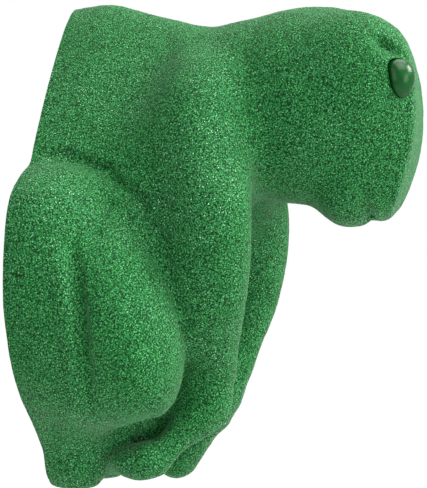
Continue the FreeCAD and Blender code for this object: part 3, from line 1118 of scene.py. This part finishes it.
@dataclass(frozen=True)
class Frog:
    """The whole form of the casting before it is cut."""

    torso: Torso = Torso()
    skull: Skull = Skull()
    neck_fillet: float = 6.0
    foreleg: Foreleg = Foreleg()
    hindleg: Hindleg = Hindleg()
    leg_fillet: float = 2.0
    fold_width: float = 0.3
    creases: tuple[Crease, ...] = (
        Crease(
            ((17.9, 15.3), (19.9, 7.3), (21.6, -1.7), (22.5, -10.2), (23.2, -17), (22.6, -24), (21.5, -31)),
            (0.8, 1.8, 2.7, 2.8, 2.4, 1.4, 0.2),
            2.0,
            30,
        ),
        Crease(
            ((14.4, 14), (16.2, 7), (17.9, -1.7), (18.8, -10.2), (19.4, -17), (18.9, -24)),
            (-0.2, -0.7, -1.0, -0.9, -0.6, -0.1),
            2.4,
            30,
        ),
        Crease(((24.4, 18.6), (24.6, 17.6)), (0.9, 0.9), 1.2, 30),
        Crease(
            ((2, 41.5), (9.6, 41), (14.6, 39.8), (22.6, 36.7), (32.8, 27.6), (39.8, 17.2)),
            (0.6, 1.4, 2.0, 2.0, 1.5, 0.4),
            1.8,
            22,
        ),
        Crease(
            ((3, 38.2), (9.4, 37.7), (13.8, 36.5), (21, 33.7), (30.3, 25.3), (36.9, 15.8)),
            (-0.3, -0.7, -1.0, -1.0, -0.8, -0.2),
            1.6,
            22,
        ),
        Crease(((39, -31), (35, -35.7), (26.5, -42.3), (22, -45)), (0.5, 1.8, 2.0, 0.8), 2.6, 8),
        Crease(((93.4, 35), (93.9, 31.5), (94.8, 27), (95.4, 18)), (0.2, 1.1, 2.4, 3.4), 1.4),
        Crease(
            ((106.6, 71), (107.7, 60), (107.4, 48), (104.9, 37.4), (102.0, 29)),
            (-0.2, -0.4, -0.4, -0.4, -0.3),
            0.8,
            6,
        ),
        Crease(((98.2, 74.8), (99.2, 73.6), (101.7, 72.0), (104.8, 70.6)), (1.1, 2.3, 2.1, 0.9), 1.5, 9),
    )

    def distance(self, points: np.ndarray) -> np.ndarray:
        """Distance of each point to the surface.

        Args:
            points: rows of side, out and up, in millimetres.

        Returns:
            The distances in millimetres, below zero inside.
        """
        signed = points.astype(np.float32)
        folded = signed.copy()
        folded[:, 0] = np.sqrt(folded[:, 0] ** 2 + self.fold_width**2)
        clay = join(self.torso.distance(folded), self.skull.distance(folded), self.neck_fillet)
        leg = self.foreleg
        for form in (leg.shoulder, leg.flank, leg.limb, leg.wrist):
            clay = join(clay, form.distance(folded), form.fillet)
        for paw in (leg.right_paw, leg.right_toe, leg.right_edge, leg.right_toe_edge, leg.left_paw):
            clay = join(clay, paw.distance(signed), paw.fillet)
        clay = join(clay, self.hindleg.distance(folded), self.leg_fillet)
        for crease in self.creases:
            clay = clay + crease.depth(folded)
        return clay


# From a form to a mesh


def surface_net(values: np.ndarray, corner: np.ndarray, cell: float) -> tuple[np.ndarray, np.ndarray]:
    """Meshes the zero surface of a grid with one vertex in each cell that it crosses.

    Args:
        values: the distance at each grid point.
        corner: place of the grid's first point.
        cell: the grid's step.

    Returns:
        The vertices and the quads, with the quads facing the positive side.
    """
    inside = values < 0
    count = np.zeros(tuple(size - 1 for size in values.shape), np.int8)
    for offset in np.ndindex(2, 2, 2):
        count += inside[tuple(slice(step, step + size) for step, size in zip(offset, count.shape))]
    crossed = (count > 0) & (count < 8)
    number = np.full(count.shape, -1, np.int32)
    number[crossed] = np.arange(crossed.sum())
    cells = np.argwhere(crossed)
    total, hits = np.zeros((len(cells), 3)), np.zeros(len(cells))
    for axis in range(3):
        unit = np.eye(3, dtype=int)[axis]
        for offset in np.ndindex(2, 2, 2):
            if offset[axis]:
                continue
            start = values[tuple((cells + offset).T)]
            end = values[tuple((cells + offset + unit).T)]
            found = (start < 0) != (end < 0)
            share = start[found] / (start[found] - end[found])
            total[found] += np.array(offset) + share[:, None] * unit
            hits += found
    vertices = corner + cell * (cells + total / hits[:, None])
    quads = []
    for axis in range(3):
        unit, second, third = (np.eye(3, dtype=int)[(axis + step) % 3] for step in range(3))
        low, high = ([slice(1, -1)] * 3 for _ in range(2))
        low[axis], high[axis] = slice(0, -1), slice(1, None)
        change = inside[tuple(low)].astype(np.int8) - inside[tuple(high)]
        for sign in (1, -1):
            edges = np.argwhere(change == sign) + 1 - unit
            ring = [edges - second - third, edges - third, edges, edges - second][::sign]
            quads.append(np.column_stack([number[tuple(cell_place.T)] for cell_place in ring]))
    return vertices, np.vstack(quads)


def settle(points: np.ndarray, distance: Callable[[np.ndarray], np.ndarray], rounds: int) -> np.ndarray:
    """Moves points onto the zero surface along its slope.

    Args:
        points: the points.
        distance: gives the distance of points to the surface.
        rounds: how often they are moved.

    Returns:
        The moved points.
    """
    probe, longest, least_slope = 0.1, 0.6, 0.1
    for _ in range(rounds):
        here = distance(points)
        sides = [distance(points + probe * unit) - distance(points - probe * unit) for unit in np.eye(3)]
        slope = np.column_stack(sides) / (2 * probe)
        square = np.maximum((slope**2).sum(axis=1), least_slope)
        points = points - slope * np.clip(here / square, -longest, longest)[:, None]
    return points


def relaxed(points: np.ndarray, quads: np.ndarray, share: float) -> np.ndarray:
    """Evens quads out by moving each vertex towards the middle of its neighbours.

    Args:
        points: the vertices.
        quads: the vertices of each face.
        share: how much of the way each one moves.

    Returns:
        The moved vertices.
    """
    total, hits = np.zeros_like(points), np.zeros(len(points))
    for step in range(4):
        here, neighbour = quads[:, step], quads[:, (step + 1) % 4]
        hits += np.bincount(here, minlength=len(points))
        for axis in range(3):
            total[:, axis] += np.bincount(here, points[neighbour, axis], len(points))
    return points + share * (total / hits[:, None] - points)


# Sub-assemblies


@dataclass(frozen=True)
class Span:
    """Where a turned piece stands, read from its node: its ends off the wall, its height and its radius."""

    inner: float
    outer: float
    up: float
    radius: float

    @classmethod
    def of(cls, node: str) -> Span:
        """Reads a node's box, in millimetres."""
        low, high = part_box(node)
        return cls(-high.y / MM, -low.y / MM, (low.z + high.z) / 2 / MM, (high.x - low.x) / 2 / MM)


@dataclass
class EyeBead:
    """Smooth teardrop bead that sits in a socket of the head, with a fine lip round it."""

    hand: Hand
    middle: Place = (18.8, 104.1, 64.0)
    outline: tuple[tuple[float, float], ...] = (
        (-4.1, 3.2),
        (-3.8, 0.2),
        (-3.1, -2.5),
        (-1.6, -4.8),
        (0.3, -5.9),
        (2.1, -5.3),
        (3.5, -3.7),
        (4.6, -1.3),
        (4.8, 1.1),
        (4.2, 3.5),
        (2.5, 5.3),
        (-0.6, 6.0),
        (-3.1, 5.2),
    )
    turn: float = 20.0
    bulge: float = 4.0
    root: float = 1.5
    foot_share: float = 0.96
    foot_height: float = 0.4
    socket_gap: float = 0.15
    lip_radius: float = 0.32
    lip_reach: float = 6.0
    lip_sides: int = 10
    lip_rounds: int = 24
    steps: int = 6
    rings: int = 14
    edge_angle: float = 50.0

    def rim(self, growth: float = 0.0) -> np.ndarray:
        """The bead's outline as a smooth loop.

        Args:
            growth: how far the loop is grown outwards.

        Returns:
            Rows of forward and upward offsets, counted clockwise as the photograph shows it.
        """
        knots = np.array(self.outline)
        before, after, beyond = np.roll(knots, 1, 0), np.roll(knots, -1, 0), np.roll(knots, -2, 0)
        rows = [spline(before, knots, after, beyond, step / self.steps) for step in range(self.steps)]
        loop = np.stack(rows, 1).reshape(-1, 2)
        along = np.roll(loop, -1, 0) - np.roll(loop, 1, 0)
        along /= np.linalg.norm(along, axis=1, keepdims=True)
        return loop - growth * np.column_stack((along[:, 1], -along[:, 0]))

    def place(self, flat: np.ndarray, height: np.ndarray | float) -> np.ndarray:
        """Puts offsets in the bead's own plane onto the head.

        Args:
            flat: rows of forward and upward offsets.
            height: how far out of the plane they lie.

        Returns:
            Rows of side, out and up.
        """
        side, out = turn_by(self.turn, height, flat[:, 0])
        side, out = self.middle[0] + side, self.middle[1] + out
        return np.column_stack((self.hand.value * side, out, self.middle[2] + flat[:, 1]))

    def shell(self, name: str, levels: Sequence[tuple[np.ndarray, float]], ends: tuple[float, float]) -> Mesh:
        """Closed mesh through loops of equal length.

        Args:
            name: the mesh's name.
            levels: each loop and its height, from the lowest to the highest.
            ends: heights of the lowest and the highest point.

        Returns:
            The mesh.
        """
        count = len(levels[0][0])
        points = [self.place(flat, height) for flat, height in levels]
        points += [self.place(np.zeros((1, 2)), end) for end in ends]
        last = count * (len(levels) - 1)
        bottom, top = last + count, last + count + 1
        faces = []
        for step in range(count):
            after = (step + 1) % count
            faces += [[bottom, after, step], [top, last + step, last + after]]
            for level in range(len(levels) - 1):
                low = level * count
                faces.append([low + step, low + after, low + count + after, low + count + step])
        if self.hand is Hand.LEFT:
            faces = [face[::-1] for face in faces]
        return new_mesh(name, to_frame(np.vstack(points)), faces)

    def build(self, finish: Material) -> Piece:
        """Makes the bead.

        Args:
            finish: its material.

        Returns:
            The finished piece.
        """
        loop = self.rim()
        levels = [(loop * self.foot_share, -self.root), (loop, self.foot_height - self.root)]
        for angle in (math.pi / 2 * ring / self.rings for ring in range(self.rings)):
            levels.append((loop * math.cos(angle), self.bulge * math.sin(angle)))
        name = f"{self.hand.name.lower()}_eye_bead"
        piece = new_piece(name, self.shell(name, levels, (-self.root, self.bulge)))
        piece.data.materials.append(finish)
        smooth(piece, self.edge_angle)
        return piece

    def socket(self) -> Piece:
        """Makes the tool that cuts the bead's socket.

        Returns:
            The tool.
        """
        loop = self.rim(self.socket_gap)
        ends = (-self.root - self.socket_gap, self.lip_reach)
        return new_piece("socket_tool", self.shell("socket_tool", [(loop, end) for end in ends], ends))

    def lip(self, frog: Frog, tree: NodeTree, finish: Material) -> Piece:
        """Makes the fine lip that lies on the head round the bead.

        Args:
            frog: the form that the lip lies on.
            tree: the Geometry Nodes tree that lays a bead along a line.
            finish: the lip's material.

        Returns:
            The lip as a piece.
        """
        loop = self.rim(self.socket_gap + self.lip_radius / 2)
        low, high = np.full(len(loop), -self.lip_reach), np.full(len(loop), self.lip_reach)
        for _ in range(self.lip_rounds):
            middle = (low + high) / 2
            outside = frog.distance(self.place(loop, middle)) > 0
            low, high = np.where(outside, low, middle), np.where(outside, middle, high)
        points = to_frame(self.place(loop, (low + high) / 2))
        mesh = bpy.data.meshes.new("lip")
        mesh.from_pydata(points.tolist(), [(step, (step + 1) % len(loop)) for step in range(len(loop))], [])
        values = {"Radius": self.lip_radius * MM, "Sides": self.lip_sides, "Finish": finish}
        return run_tree(new_piece("lip", mesh), tree, values)


@dataclass
class Casting:
    """The green casting, with its flat back, its holes and the sockets of the eye beads."""

    frog: Frog = field(default_factory=Frog)
    low_corner: Place = (-59.0, -4.0, -61.0)
    high_corner: Place = (59.0, 112.5, 97.0)
    cell: float = 0.97
    cells_behind: float = 1.5
    seed: float = 7.0
    relax_rounds: int = 2
    relax_share: float = 0.5
    lump_size: float = 5.0
    lump_depth: float = 0.34
    grain_size: float = 1.2
    grain_depth: float = 0.27
    hole_gap: float = 0.5
    bolt_hole_radius: float = 6.0
    screw_hole_radius: float = 3.05
    recess_gap: float = 0.3
    overrun: float = 6.0
    tool_reach: float = 130.0
    tool_sides: int = 96
    edge_angle: float = 55.0

    def clay_mesh(self) -> Mesh:
        """Meshes the frog's form, which still runs on behind the wall plane.

        Returns:
            The mesh.
        """
        low, high = np.array(self.low_corner), np.array(self.high_corner)
        axes = [np.arange(start, end, self.cell, np.float32) for start, end in zip(low, high)]
        grid = np.stack(np.meshgrid(*axes, indexing="ij"), -1)
        behind = low[1] + self.cell * self.cells_behind

        def blocked(points: np.ndarray) -> np.ndarray:
            """Distance to the form with a flat end behind the wall plane."""
            return np.maximum(self.frog.distance(points), behind - points[:, 1])

        values = blocked(grid.reshape(-1, 3)).reshape(grid.shape[:3])
        points, quads = surface_net(values, low, self.cell)
        points = settle(points, blocked, 2)
        for _ in range(self.relax_rounds):
            points = settle(relaxed(points, quads, self.relax_share), blocked, 1)
        return new_mesh("frog_clay", to_frame(points), quads)

    def wall_tool(self) -> Piece:
        """Makes the block behind the wall plane, whose faces take the second material.

        Returns:
            The tool.
        """
        reach = self.tool_reach
        outline = ((-reach, 0), (reach, 0), (reach, reach), (-reach, reach))
        mesh = prism_mesh("wall_tool", outline, -reach, reach)
        mesh.transform(Matrix.Scale(MM, 4))
        mesh.polygons.foreach_set("material_index", [1] * len(mesh.polygons))
        return new_piece("wall_tool", mesh)

    def bore_tool(self, node: str, hole: float, gap: float) -> Piece:
        """Makes a stepped round tool: a clearance hole up to a seat and a wider bore on out from it.

        Args:
            node: the washer that lies on the seat.
            hole: radius of the clearance hole.
            gap: room round the washer.

        Returns:
            The tool.
        """
        span = Span.of(node)
        wide = span.radius + gap
        outline = ((0, -self.overrun), (hole, -self.overrun), (hole, span.inner), (wide, span.inner))
        outline += ((wide, self.tool_reach), (0, self.tool_reach))
        mesh = turned_mesh("bore_tool", outline, self.tool_sides)
        mesh.transform(off_wall(span.up))
        return new_piece("bore_tool", mesh)

    def build(self, finish: Material, back: Material, beads: Sequence[EyeBead]) -> Piece:
        """Makes the casting.

        Args:
            finish: the grained finish of its skin.
            back: the finish of its flat back.
            beads: the eye beads that it has sockets for.

        Returns:
            The finished piece.
        """
        piece = new_piece("frog_casting", self.clay_mesh())
        names = ("lump_size", "lump_depth", "grain_size", "grain_depth")
        values = {name.replace("_", " ").title(): getattr(self, name) * MM for name in names}
        run_tree(piece, relief_tree(), {**values, "Seed": self.seed, "Finish": finish})
        piece.data.materials.append(back)
        tools = [self.wall_tool(), self.bore_tool("bolt_washer", self.bolt_hole_radius, self.hole_gap)]
        for level in Level:
            tools.append(self.bore_tool(f"{level.value}_cup_washer", self.screw_hole_radius, self.recess_gap))
        for tool in tools:
            combine(piece, tool, "DIFFERENCE")
        tree = lip_tree()
        for bead in beads:
            combine(piece, bead.lip(self.frog, tree, finish), "UNION")
            combine(piece, bead.socket(), "DIFFERENCE")
        smooth(piece, self.edge_angle)
        return piece


@dataclass
class MountingBolt:
    """Socket head cap screw, M10, with a knurled head. Heights along its axis are distances off the wall."""

    pitch: float = 1.5
    thread_length: float = 31.0
    thread_depth: float = 0.72
    thread_steps: int = 24
    tip_share: float = 0.9
    crest_radius: float = 4.95
    core_growth: float = 0.05
    runout: float = 0.5
    end_chamfer: float = 1.0
    shank_radius: float = 4.5
    head_height: float = 10.0
    head_chamfer: float = 0.8
    ridge_depth: float = 0.42
    ridge_count: int = 48
    hex_flats: float = 8.0
    hex_depth: float = 5.0
    edge: float = 0.25
    sides: int = 64
    edge_angle: float = 35.0

    def core(self, span: Span, head: float) -> list[tuple[float, float]]:
        """Outline of the bolt without its thread and ridges.

        Args:
            span: where the bolt stands.
            head: radius of the head under the ridges.

        Returns:
            Radius and height of each point.
        """
        core, seat = self.crest_radius - self.thread_depth + self.core_growth, span.outer - self.head_height
        thread_end = span.inner + self.thread_length
        corners = (
            (0, span.inner),
            (core - self.core_growth - self.end_chamfer / 2, span.inner),
            (core, span.inner + self.end_chamfer / 2),
            (core, thread_end),
            (self.shank_radius, thread_end + self.runout),
            (self.shank_radius, seat),
            (head, seat),
            (head, span.outer - self.head_chamfer),
            (head - self.head_chamfer, span.outer),
            (0, span.outer),
        )
        return rounded(corners, self.edge)

    def build(self, finish: Material, threads: NodeTree) -> Piece:
        """Makes the bolt.

        Args:
            finish: its material.
            threads: the Geometry Nodes tree that winds a thread.

        Returns:
            The finished piece.
        """
        span = Span.of("mounting_bolt")
        head = span.radius - self.ridge_depth / 2
        piece = turned_piece("cap_screw", self.core(span, head), self.sides, finish)
        thread = {
            "Radius": self.crest_radius - self.thread_depth,
            "Pitch": self.pitch,
            "Length": self.thread_length - 2 * self.thread_depth,
            "Depth": self.thread_depth,
            "Tip Length": self.end_chamfer,
            "Tip Share": self.tip_share,
            "Steps": self.thread_steps,
            "Finish": finish,
        }
        join_tree(piece, threads, thread, span.inner + self.thread_depth)
        height = self.head_height - self.head_chamfer - 3 * self.edge
        ridges = {"Radius": head - self.ridge_depth / 2, "Height": height, "Depth": self.ridge_depth}
        middle = span.outer - self.head_height + 2 * self.edge + height / 2
        join_tree(piece, ridge_tree(), {**ridges, "Count": self.ridge_count, "Finish": finish}, middle)
        corner = self.hex_flats / 2 / math.cos(math.pi / HEX_SIDES)
        angles = [math.radians(360 / HEX_SIDES * step) for step in range(HEX_SIDES)]
        hexagon = [(corner * math.cos(angle), corner * math.sin(angle)) for angle in angles]
        socket = prism_mesh("hex_tool", hexagon, span.outer - self.hex_depth, span.outer + self.hex_depth)
        combine(piece, new_piece("hex_tool", socket), "DIFFERENCE")
        return stand_off_wall(piece, span.up, self.edge_angle)


@dataclass
class FlatWasher:
    """Flat washer under the bolt's head, and a hair's breadth clear of it."""

    hole_radius: float = 5.25
    seat_gap: float = 0.02
    edge: float = 0.3
    sides: int = 72
    edge_angle: float = 40.0

    def build(self, finish: Material) -> Piece:
        """Makes the washer.

        Args:
            finish: its material.

        Returns:
            The finished piece.
        """
        span = Span.of("bolt_washer")
        hole, rim, face = self.hole_radius, span.radius, span.outer - self.seat_gap
        corners = [(hole, span.inner), (rim, span.inner), (rim, face), (hole, face)]
        piece = turned_ring("flat_washer", corners, self.edge, self.sides, finish)
        return stand_off_wall(piece, span.up, self.edge_angle)


@dataclass
class CupWasher:
    """Cup washer that carries a countersunk head."""

    level: Level
    hole_radius: float = 2.5
    mouth_radius: float = 4.6
    floor: float = 0.8
    edge: float = 0.15
    sides: int = 56
    edge_angle: float = 40.0

    def build(self, finish: Material) -> Piece:
        """Makes the washer.

        Args:
            finish: its material.

        Returns:
            The finished piece.
        """
        span = Span.of(f"{self.level.value}_cup_washer")
        hole, rim = self.hole_radius, span.radius
        corners = [(hole, span.inner), (rim, span.inner), (rim, span.outer)]
        corners += [(self.mouth_radius, span.outer), (hole, span.inner + self.floor)]
        piece = turned_ring(f"{self.level.value}_cup", corners, self.edge, self.sides, finish)
        return stand_off_wall(piece, span.up, self.edge_angle)


@dataclass
class WoodScrew:
    """Countersunk wood screw with a cross recess. Heights along its axis are distances off the wall."""

    level: Level
    pitch: float = 2.2
    thread_length: float = 27.0
    thread_depth: float = 0.62
    thread_steps: int = 20
    crest_radius: float = 2.25
    shank_radius: float = 1.65
    runout: float = 1.0
    tip_length: float = 5.0
    tip_radius: float = 0.35
    tip_chamfer: float = 0.3
    tip_share: float = 0.16
    head_rim: float = 0.4
    cross_width: float = 1.4
    cross_length: float = 5.2
    cross_depth: float = 2.0
    edge: float = 0.12
    sides: int = 40
    edge_angle: float = 35.0

    def core(self, span: Span) -> list[tuple[float, float]]:
        """Outline of the screw without its thread.

        Args:
            span: where the screw stands.

        Returns:
            Radius and height of each point.
        """
        cone_top = span.outer - self.head_rim
        corners = (
            (0, span.inner),
            (self.tip_radius, span.inner + self.tip_chamfer),
            (self.crest_radius - self.thread_depth, span.inner + self.tip_length),
            (self.shank_radius, span.inner + self.thread_length + self.runout),
            (self.shank_radius, cone_top - (span.radius - self.shank_radius)),
            (span.radius, cone_top),
            (span.radius, span.outer),
            (0, span.outer),
        )
        return rounded(corners, self.edge)

    def build(self, finish: Material, threads: NodeTree) -> Piece:
        """Makes the screw.

        Args:
            finish: its material.
            threads: the Geometry Nodes tree that winds a thread.

        Returns:
            The finished piece.
        """
        span = Span.of(f"{self.level.value}_screw")
        piece = turned_piece(f"{self.level.value}_wood_screw", self.core(span), self.sides, finish)
        thread = {
            "Radius": self.crest_radius - self.thread_depth,
            "Pitch": self.pitch,
            "Length": self.thread_length - self.thread_depth,
            "Depth": self.thread_depth,
            "Tip Length": self.tip_length,
            "Tip Share": self.tip_share,
            "Steps": self.thread_steps,
            "Finish": finish,
        }
        join_tree(piece, threads, thread, span.inner + self.thread_depth)
        low, high = span.outer - self.cross_depth, span.outer + self.cross_depth
        half_long, half_wide = self.cross_length / 2, self.cross_width / 2
        for long, wide in ((half_long, half_wide), (half_wide, half_long)):
            outline = ((-long, -wide), (long, -wide), (long, wide), (-long, wide))
            slot = new_piece("cross_tool", prism_mesh("cross_tool", outline, low, high))
            combine(piece, slot, "DIFFERENCE")
        return stand_off_wall(piece, span.up, self.edge_angle)


@dataclass(frozen=True)
class Softbox:
    """Square area lamp that looks at the hold. Lengths are in metres and power in watts."""

    name: str
    place: Place
    size: float
    power: float


@dataclass
class Studio:
    """White floor, soft lamps, world and the photograph's camera. Lengths are in metres."""

    aim: Place = (0.0, -0.046, 0.0003)
    distance: float = 0.380
    azimuth: float = 14.0
    roll: float = 1.0
    pixel: float = 0.000309
    aim_row: float = 300.0
    image_height: float = 488.0
    sensor: float = 36.0
    floor_level: float = -0.118
    floor_reach: float = 4.0
    shadow_reach: float = 0.30
    world_strength: float = 0.14
    floor_colour: Colour = (0.86, 0.86, 0.86, 1)
    fade_reach: float = 0.45
    near_limit: float = 0.01
    lamps: tuple[Softbox, ...] = (
        Softbox("key_softbox", (-0.42, -0.46, 0.80), 0.45, 6.5),
        Softbox("low_front_softbox", (-0.40, -0.78, 0.14), 0.34, 3.0),
        Softbox("face_softbox", (0.05, -0.85, 0.62), 0.40, 17.0),
        Softbox("overhead_softbox", (0.06, -0.20, 0.95), 0.70, 9.5),
        Softbox("side_fill_softbox", (-0.80, 0.40, 0.20), 0.60, 2.8),
    )

    def camera(self) -> None:
        """Makes the camera, pitched so that its aim falls on the right row of the picture."""
        data = bpy.data.cameras.new("photo_camera")
        focal_pixels = self.distance / self.pixel
        data.sensor_width = self.sensor
        data.lens = focal_pixels / self.image_height * self.sensor
        data.clip_start = self.near_limit
        turn = math.radians(self.azimuth)
        back = Vector((-math.cos(turn), -math.sin(turn), 0.0))
        pitch = math.atan((self.aim_row - self.image_height / 2) / focal_pixels)
        right = Vector((0, 0, 1)).cross(back).normalized()
        basis = Matrix((right, back.cross(right), back)).transposed().to_4x4()
        turned = Matrix.Rotation(pitch, 4, "X") @ Matrix.Rotation(math.radians(self.roll), 4, "Z")
        camera = bpy.data.objects.new("photo_camera", data)
        camera.matrix_world = Matrix.Translation(Vector(self.aim) + back * self.distance) @ basis @ turned
        bpy.context.scene.collection.objects.link(camera)
        bpy.context.scene.camera = camera

    def light(self) -> None:
        """Hangs the softboxes."""
        for lamp in self.lamps:
            data = bpy.data.lights.new(lamp.name, "AREA")
            data.size = lamp.size
            data.energy = lamp.power
            made = bpy.data.objects.new(lamp.name, data)
            direction = Vector(self.aim) - Vector(lamp.place)
            turned = direction.to_track_quat("-Z", "Y").to_matrix().to_4x4()
            made.matrix_world = Matrix.Translation(lamp.place) @ turned
            bpy.context.scene.collection.objects.link(made)

    def world(self) -> None:
        """Fills the world with soft light, and with plain white for what the camera sees and gloss shows."""
        world = bpy.data.worlds.new("white_studio")
        bpy.context.scene.world = world
        world.use_nodes = True
        graph = Graph(world.node_tree)
        graph.tree.nodes.clear()
        seen = graph.backdrop_share()
        fill = graph.add("ShaderNodeBackground", {"Color": WHITE, "Strength": self.world_strength})
        white = graph.add("ShaderNodeBackground", {"Color": WHITE, "Strength": 1.0})
        mixed = graph.add("ShaderNodeMixShader", {0: seen, 1: fill.outputs[0], 2: white.outputs[0]})
        graph.add("ShaderNodeOutputWorld", {"Surface": mixed.outputs[0]})

    def floor(self) -> None:
        """Lays a pale floor below the hold, which turns to plain white away from the shadow."""
        corners = np.array([(-1, -1, 0), (1, -1, 0), (1, 1, 0), (-1, 1, 0)]) * self.floor_reach
        corners[:, 2] = self.floor_level
        piece = new_piece("studio_floor", new_mesh("studio_floor", corners, [[0, 1, 2, 3]]))
        settings = {"Base Color": self.floor_colour, "Roughness": 0.9}
        material, graph, shader = new_material("pale_floor", settings)
        away = graph.add("ShaderNodeVectorMath", {0: graph.place()}, operation="LENGTH").outputs["Value"]
        far = graph.remap(away, self.shadow_reach, self.fade_reach)
        share = graph.math("MULTIPLY", graph.backdrop_share(), far)
        white = graph.add("ShaderNodeEmission", {"Color": WHITE, "Strength": 1.0})
        mixed = graph.add("ShaderNodeMixShader", {0: share, 1: shader.outputs[0], 2: white.outputs[0]})
        output = next(node for node in graph.tree.nodes if node.bl_idname == "ShaderNodeOutputMaterial")
        graph.feed(output, "Surface", mixed.outputs[0])
        piece.data.materials.append(material)

    def build(self) -> None:
        """Sets up the whole studio."""
        bpy.context.scene.view_settings.view_transform = "Standard"
        self.camera()
        self.light()
        self.world()
        self.floor()


def main() -> None:
    """Builds the studio and every piece of the hold."""
    logging.basicConfig(level=logging.INFO, format="%(message)s")
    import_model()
    Studio().build()

    grain, wear, threads = grain_group(), wear_group(), thread_tree()
    skin = GrainFinish().build(grain)
    # The flat back has milder painted shade in its pits, milder painted light on its crests, and no painted
    # highlight specks.
    back = GrainFinish(
        name="flat_cast_back",
        pit_shade=(0.005, 0.078, 0.015, 1),
        crest_light=(0.016, 0.150, 0.036, 1),
        grain_size=0.0007,
        bump=0.00006,
        painted_highlight_share=0.0,
        sheen=0.0,
    ).build(grain)
    steels = {finish.coat: finish.build(wear) for finish in STEEL_FINISHES}
    bead_finish = BeadFinish().build()

    beads = [EyeBead(Hand.LEFT, middle=(18.8, 103.1, 64.0)), EyeBead(Hand.RIGHT)]
    hand_over(Casting().build(skin, back, beads), "hold_body", "hold")
    for bead in beads:
        hand_over(bead.build(bead_finish), f"{bead.hand.name.lower()}_eye", "hold")
    hand_over(MountingBolt().build(steels[Coat.BLACK_OXIDE], threads), "mounting_bolt", "bolt")
    hand_over(FlatWasher().build(steels[Coat.ZINC]), "bolt_washer", "bolt_carriage")
    for level in Level:
        name = level.value
        cup = CupWasher(level).build(steels[Coat.ZINC])
        hand_over(cup, f"{name}_cup_washer", f"{name}_screw_carriage")
        screw = WoodScrew(level).build(steels[Coat.YELLOW_ZINC], threads)
        hand_over(screw, f"{name}_screw", f"{name}_screw")


if __name__ == "__main__":
    main()
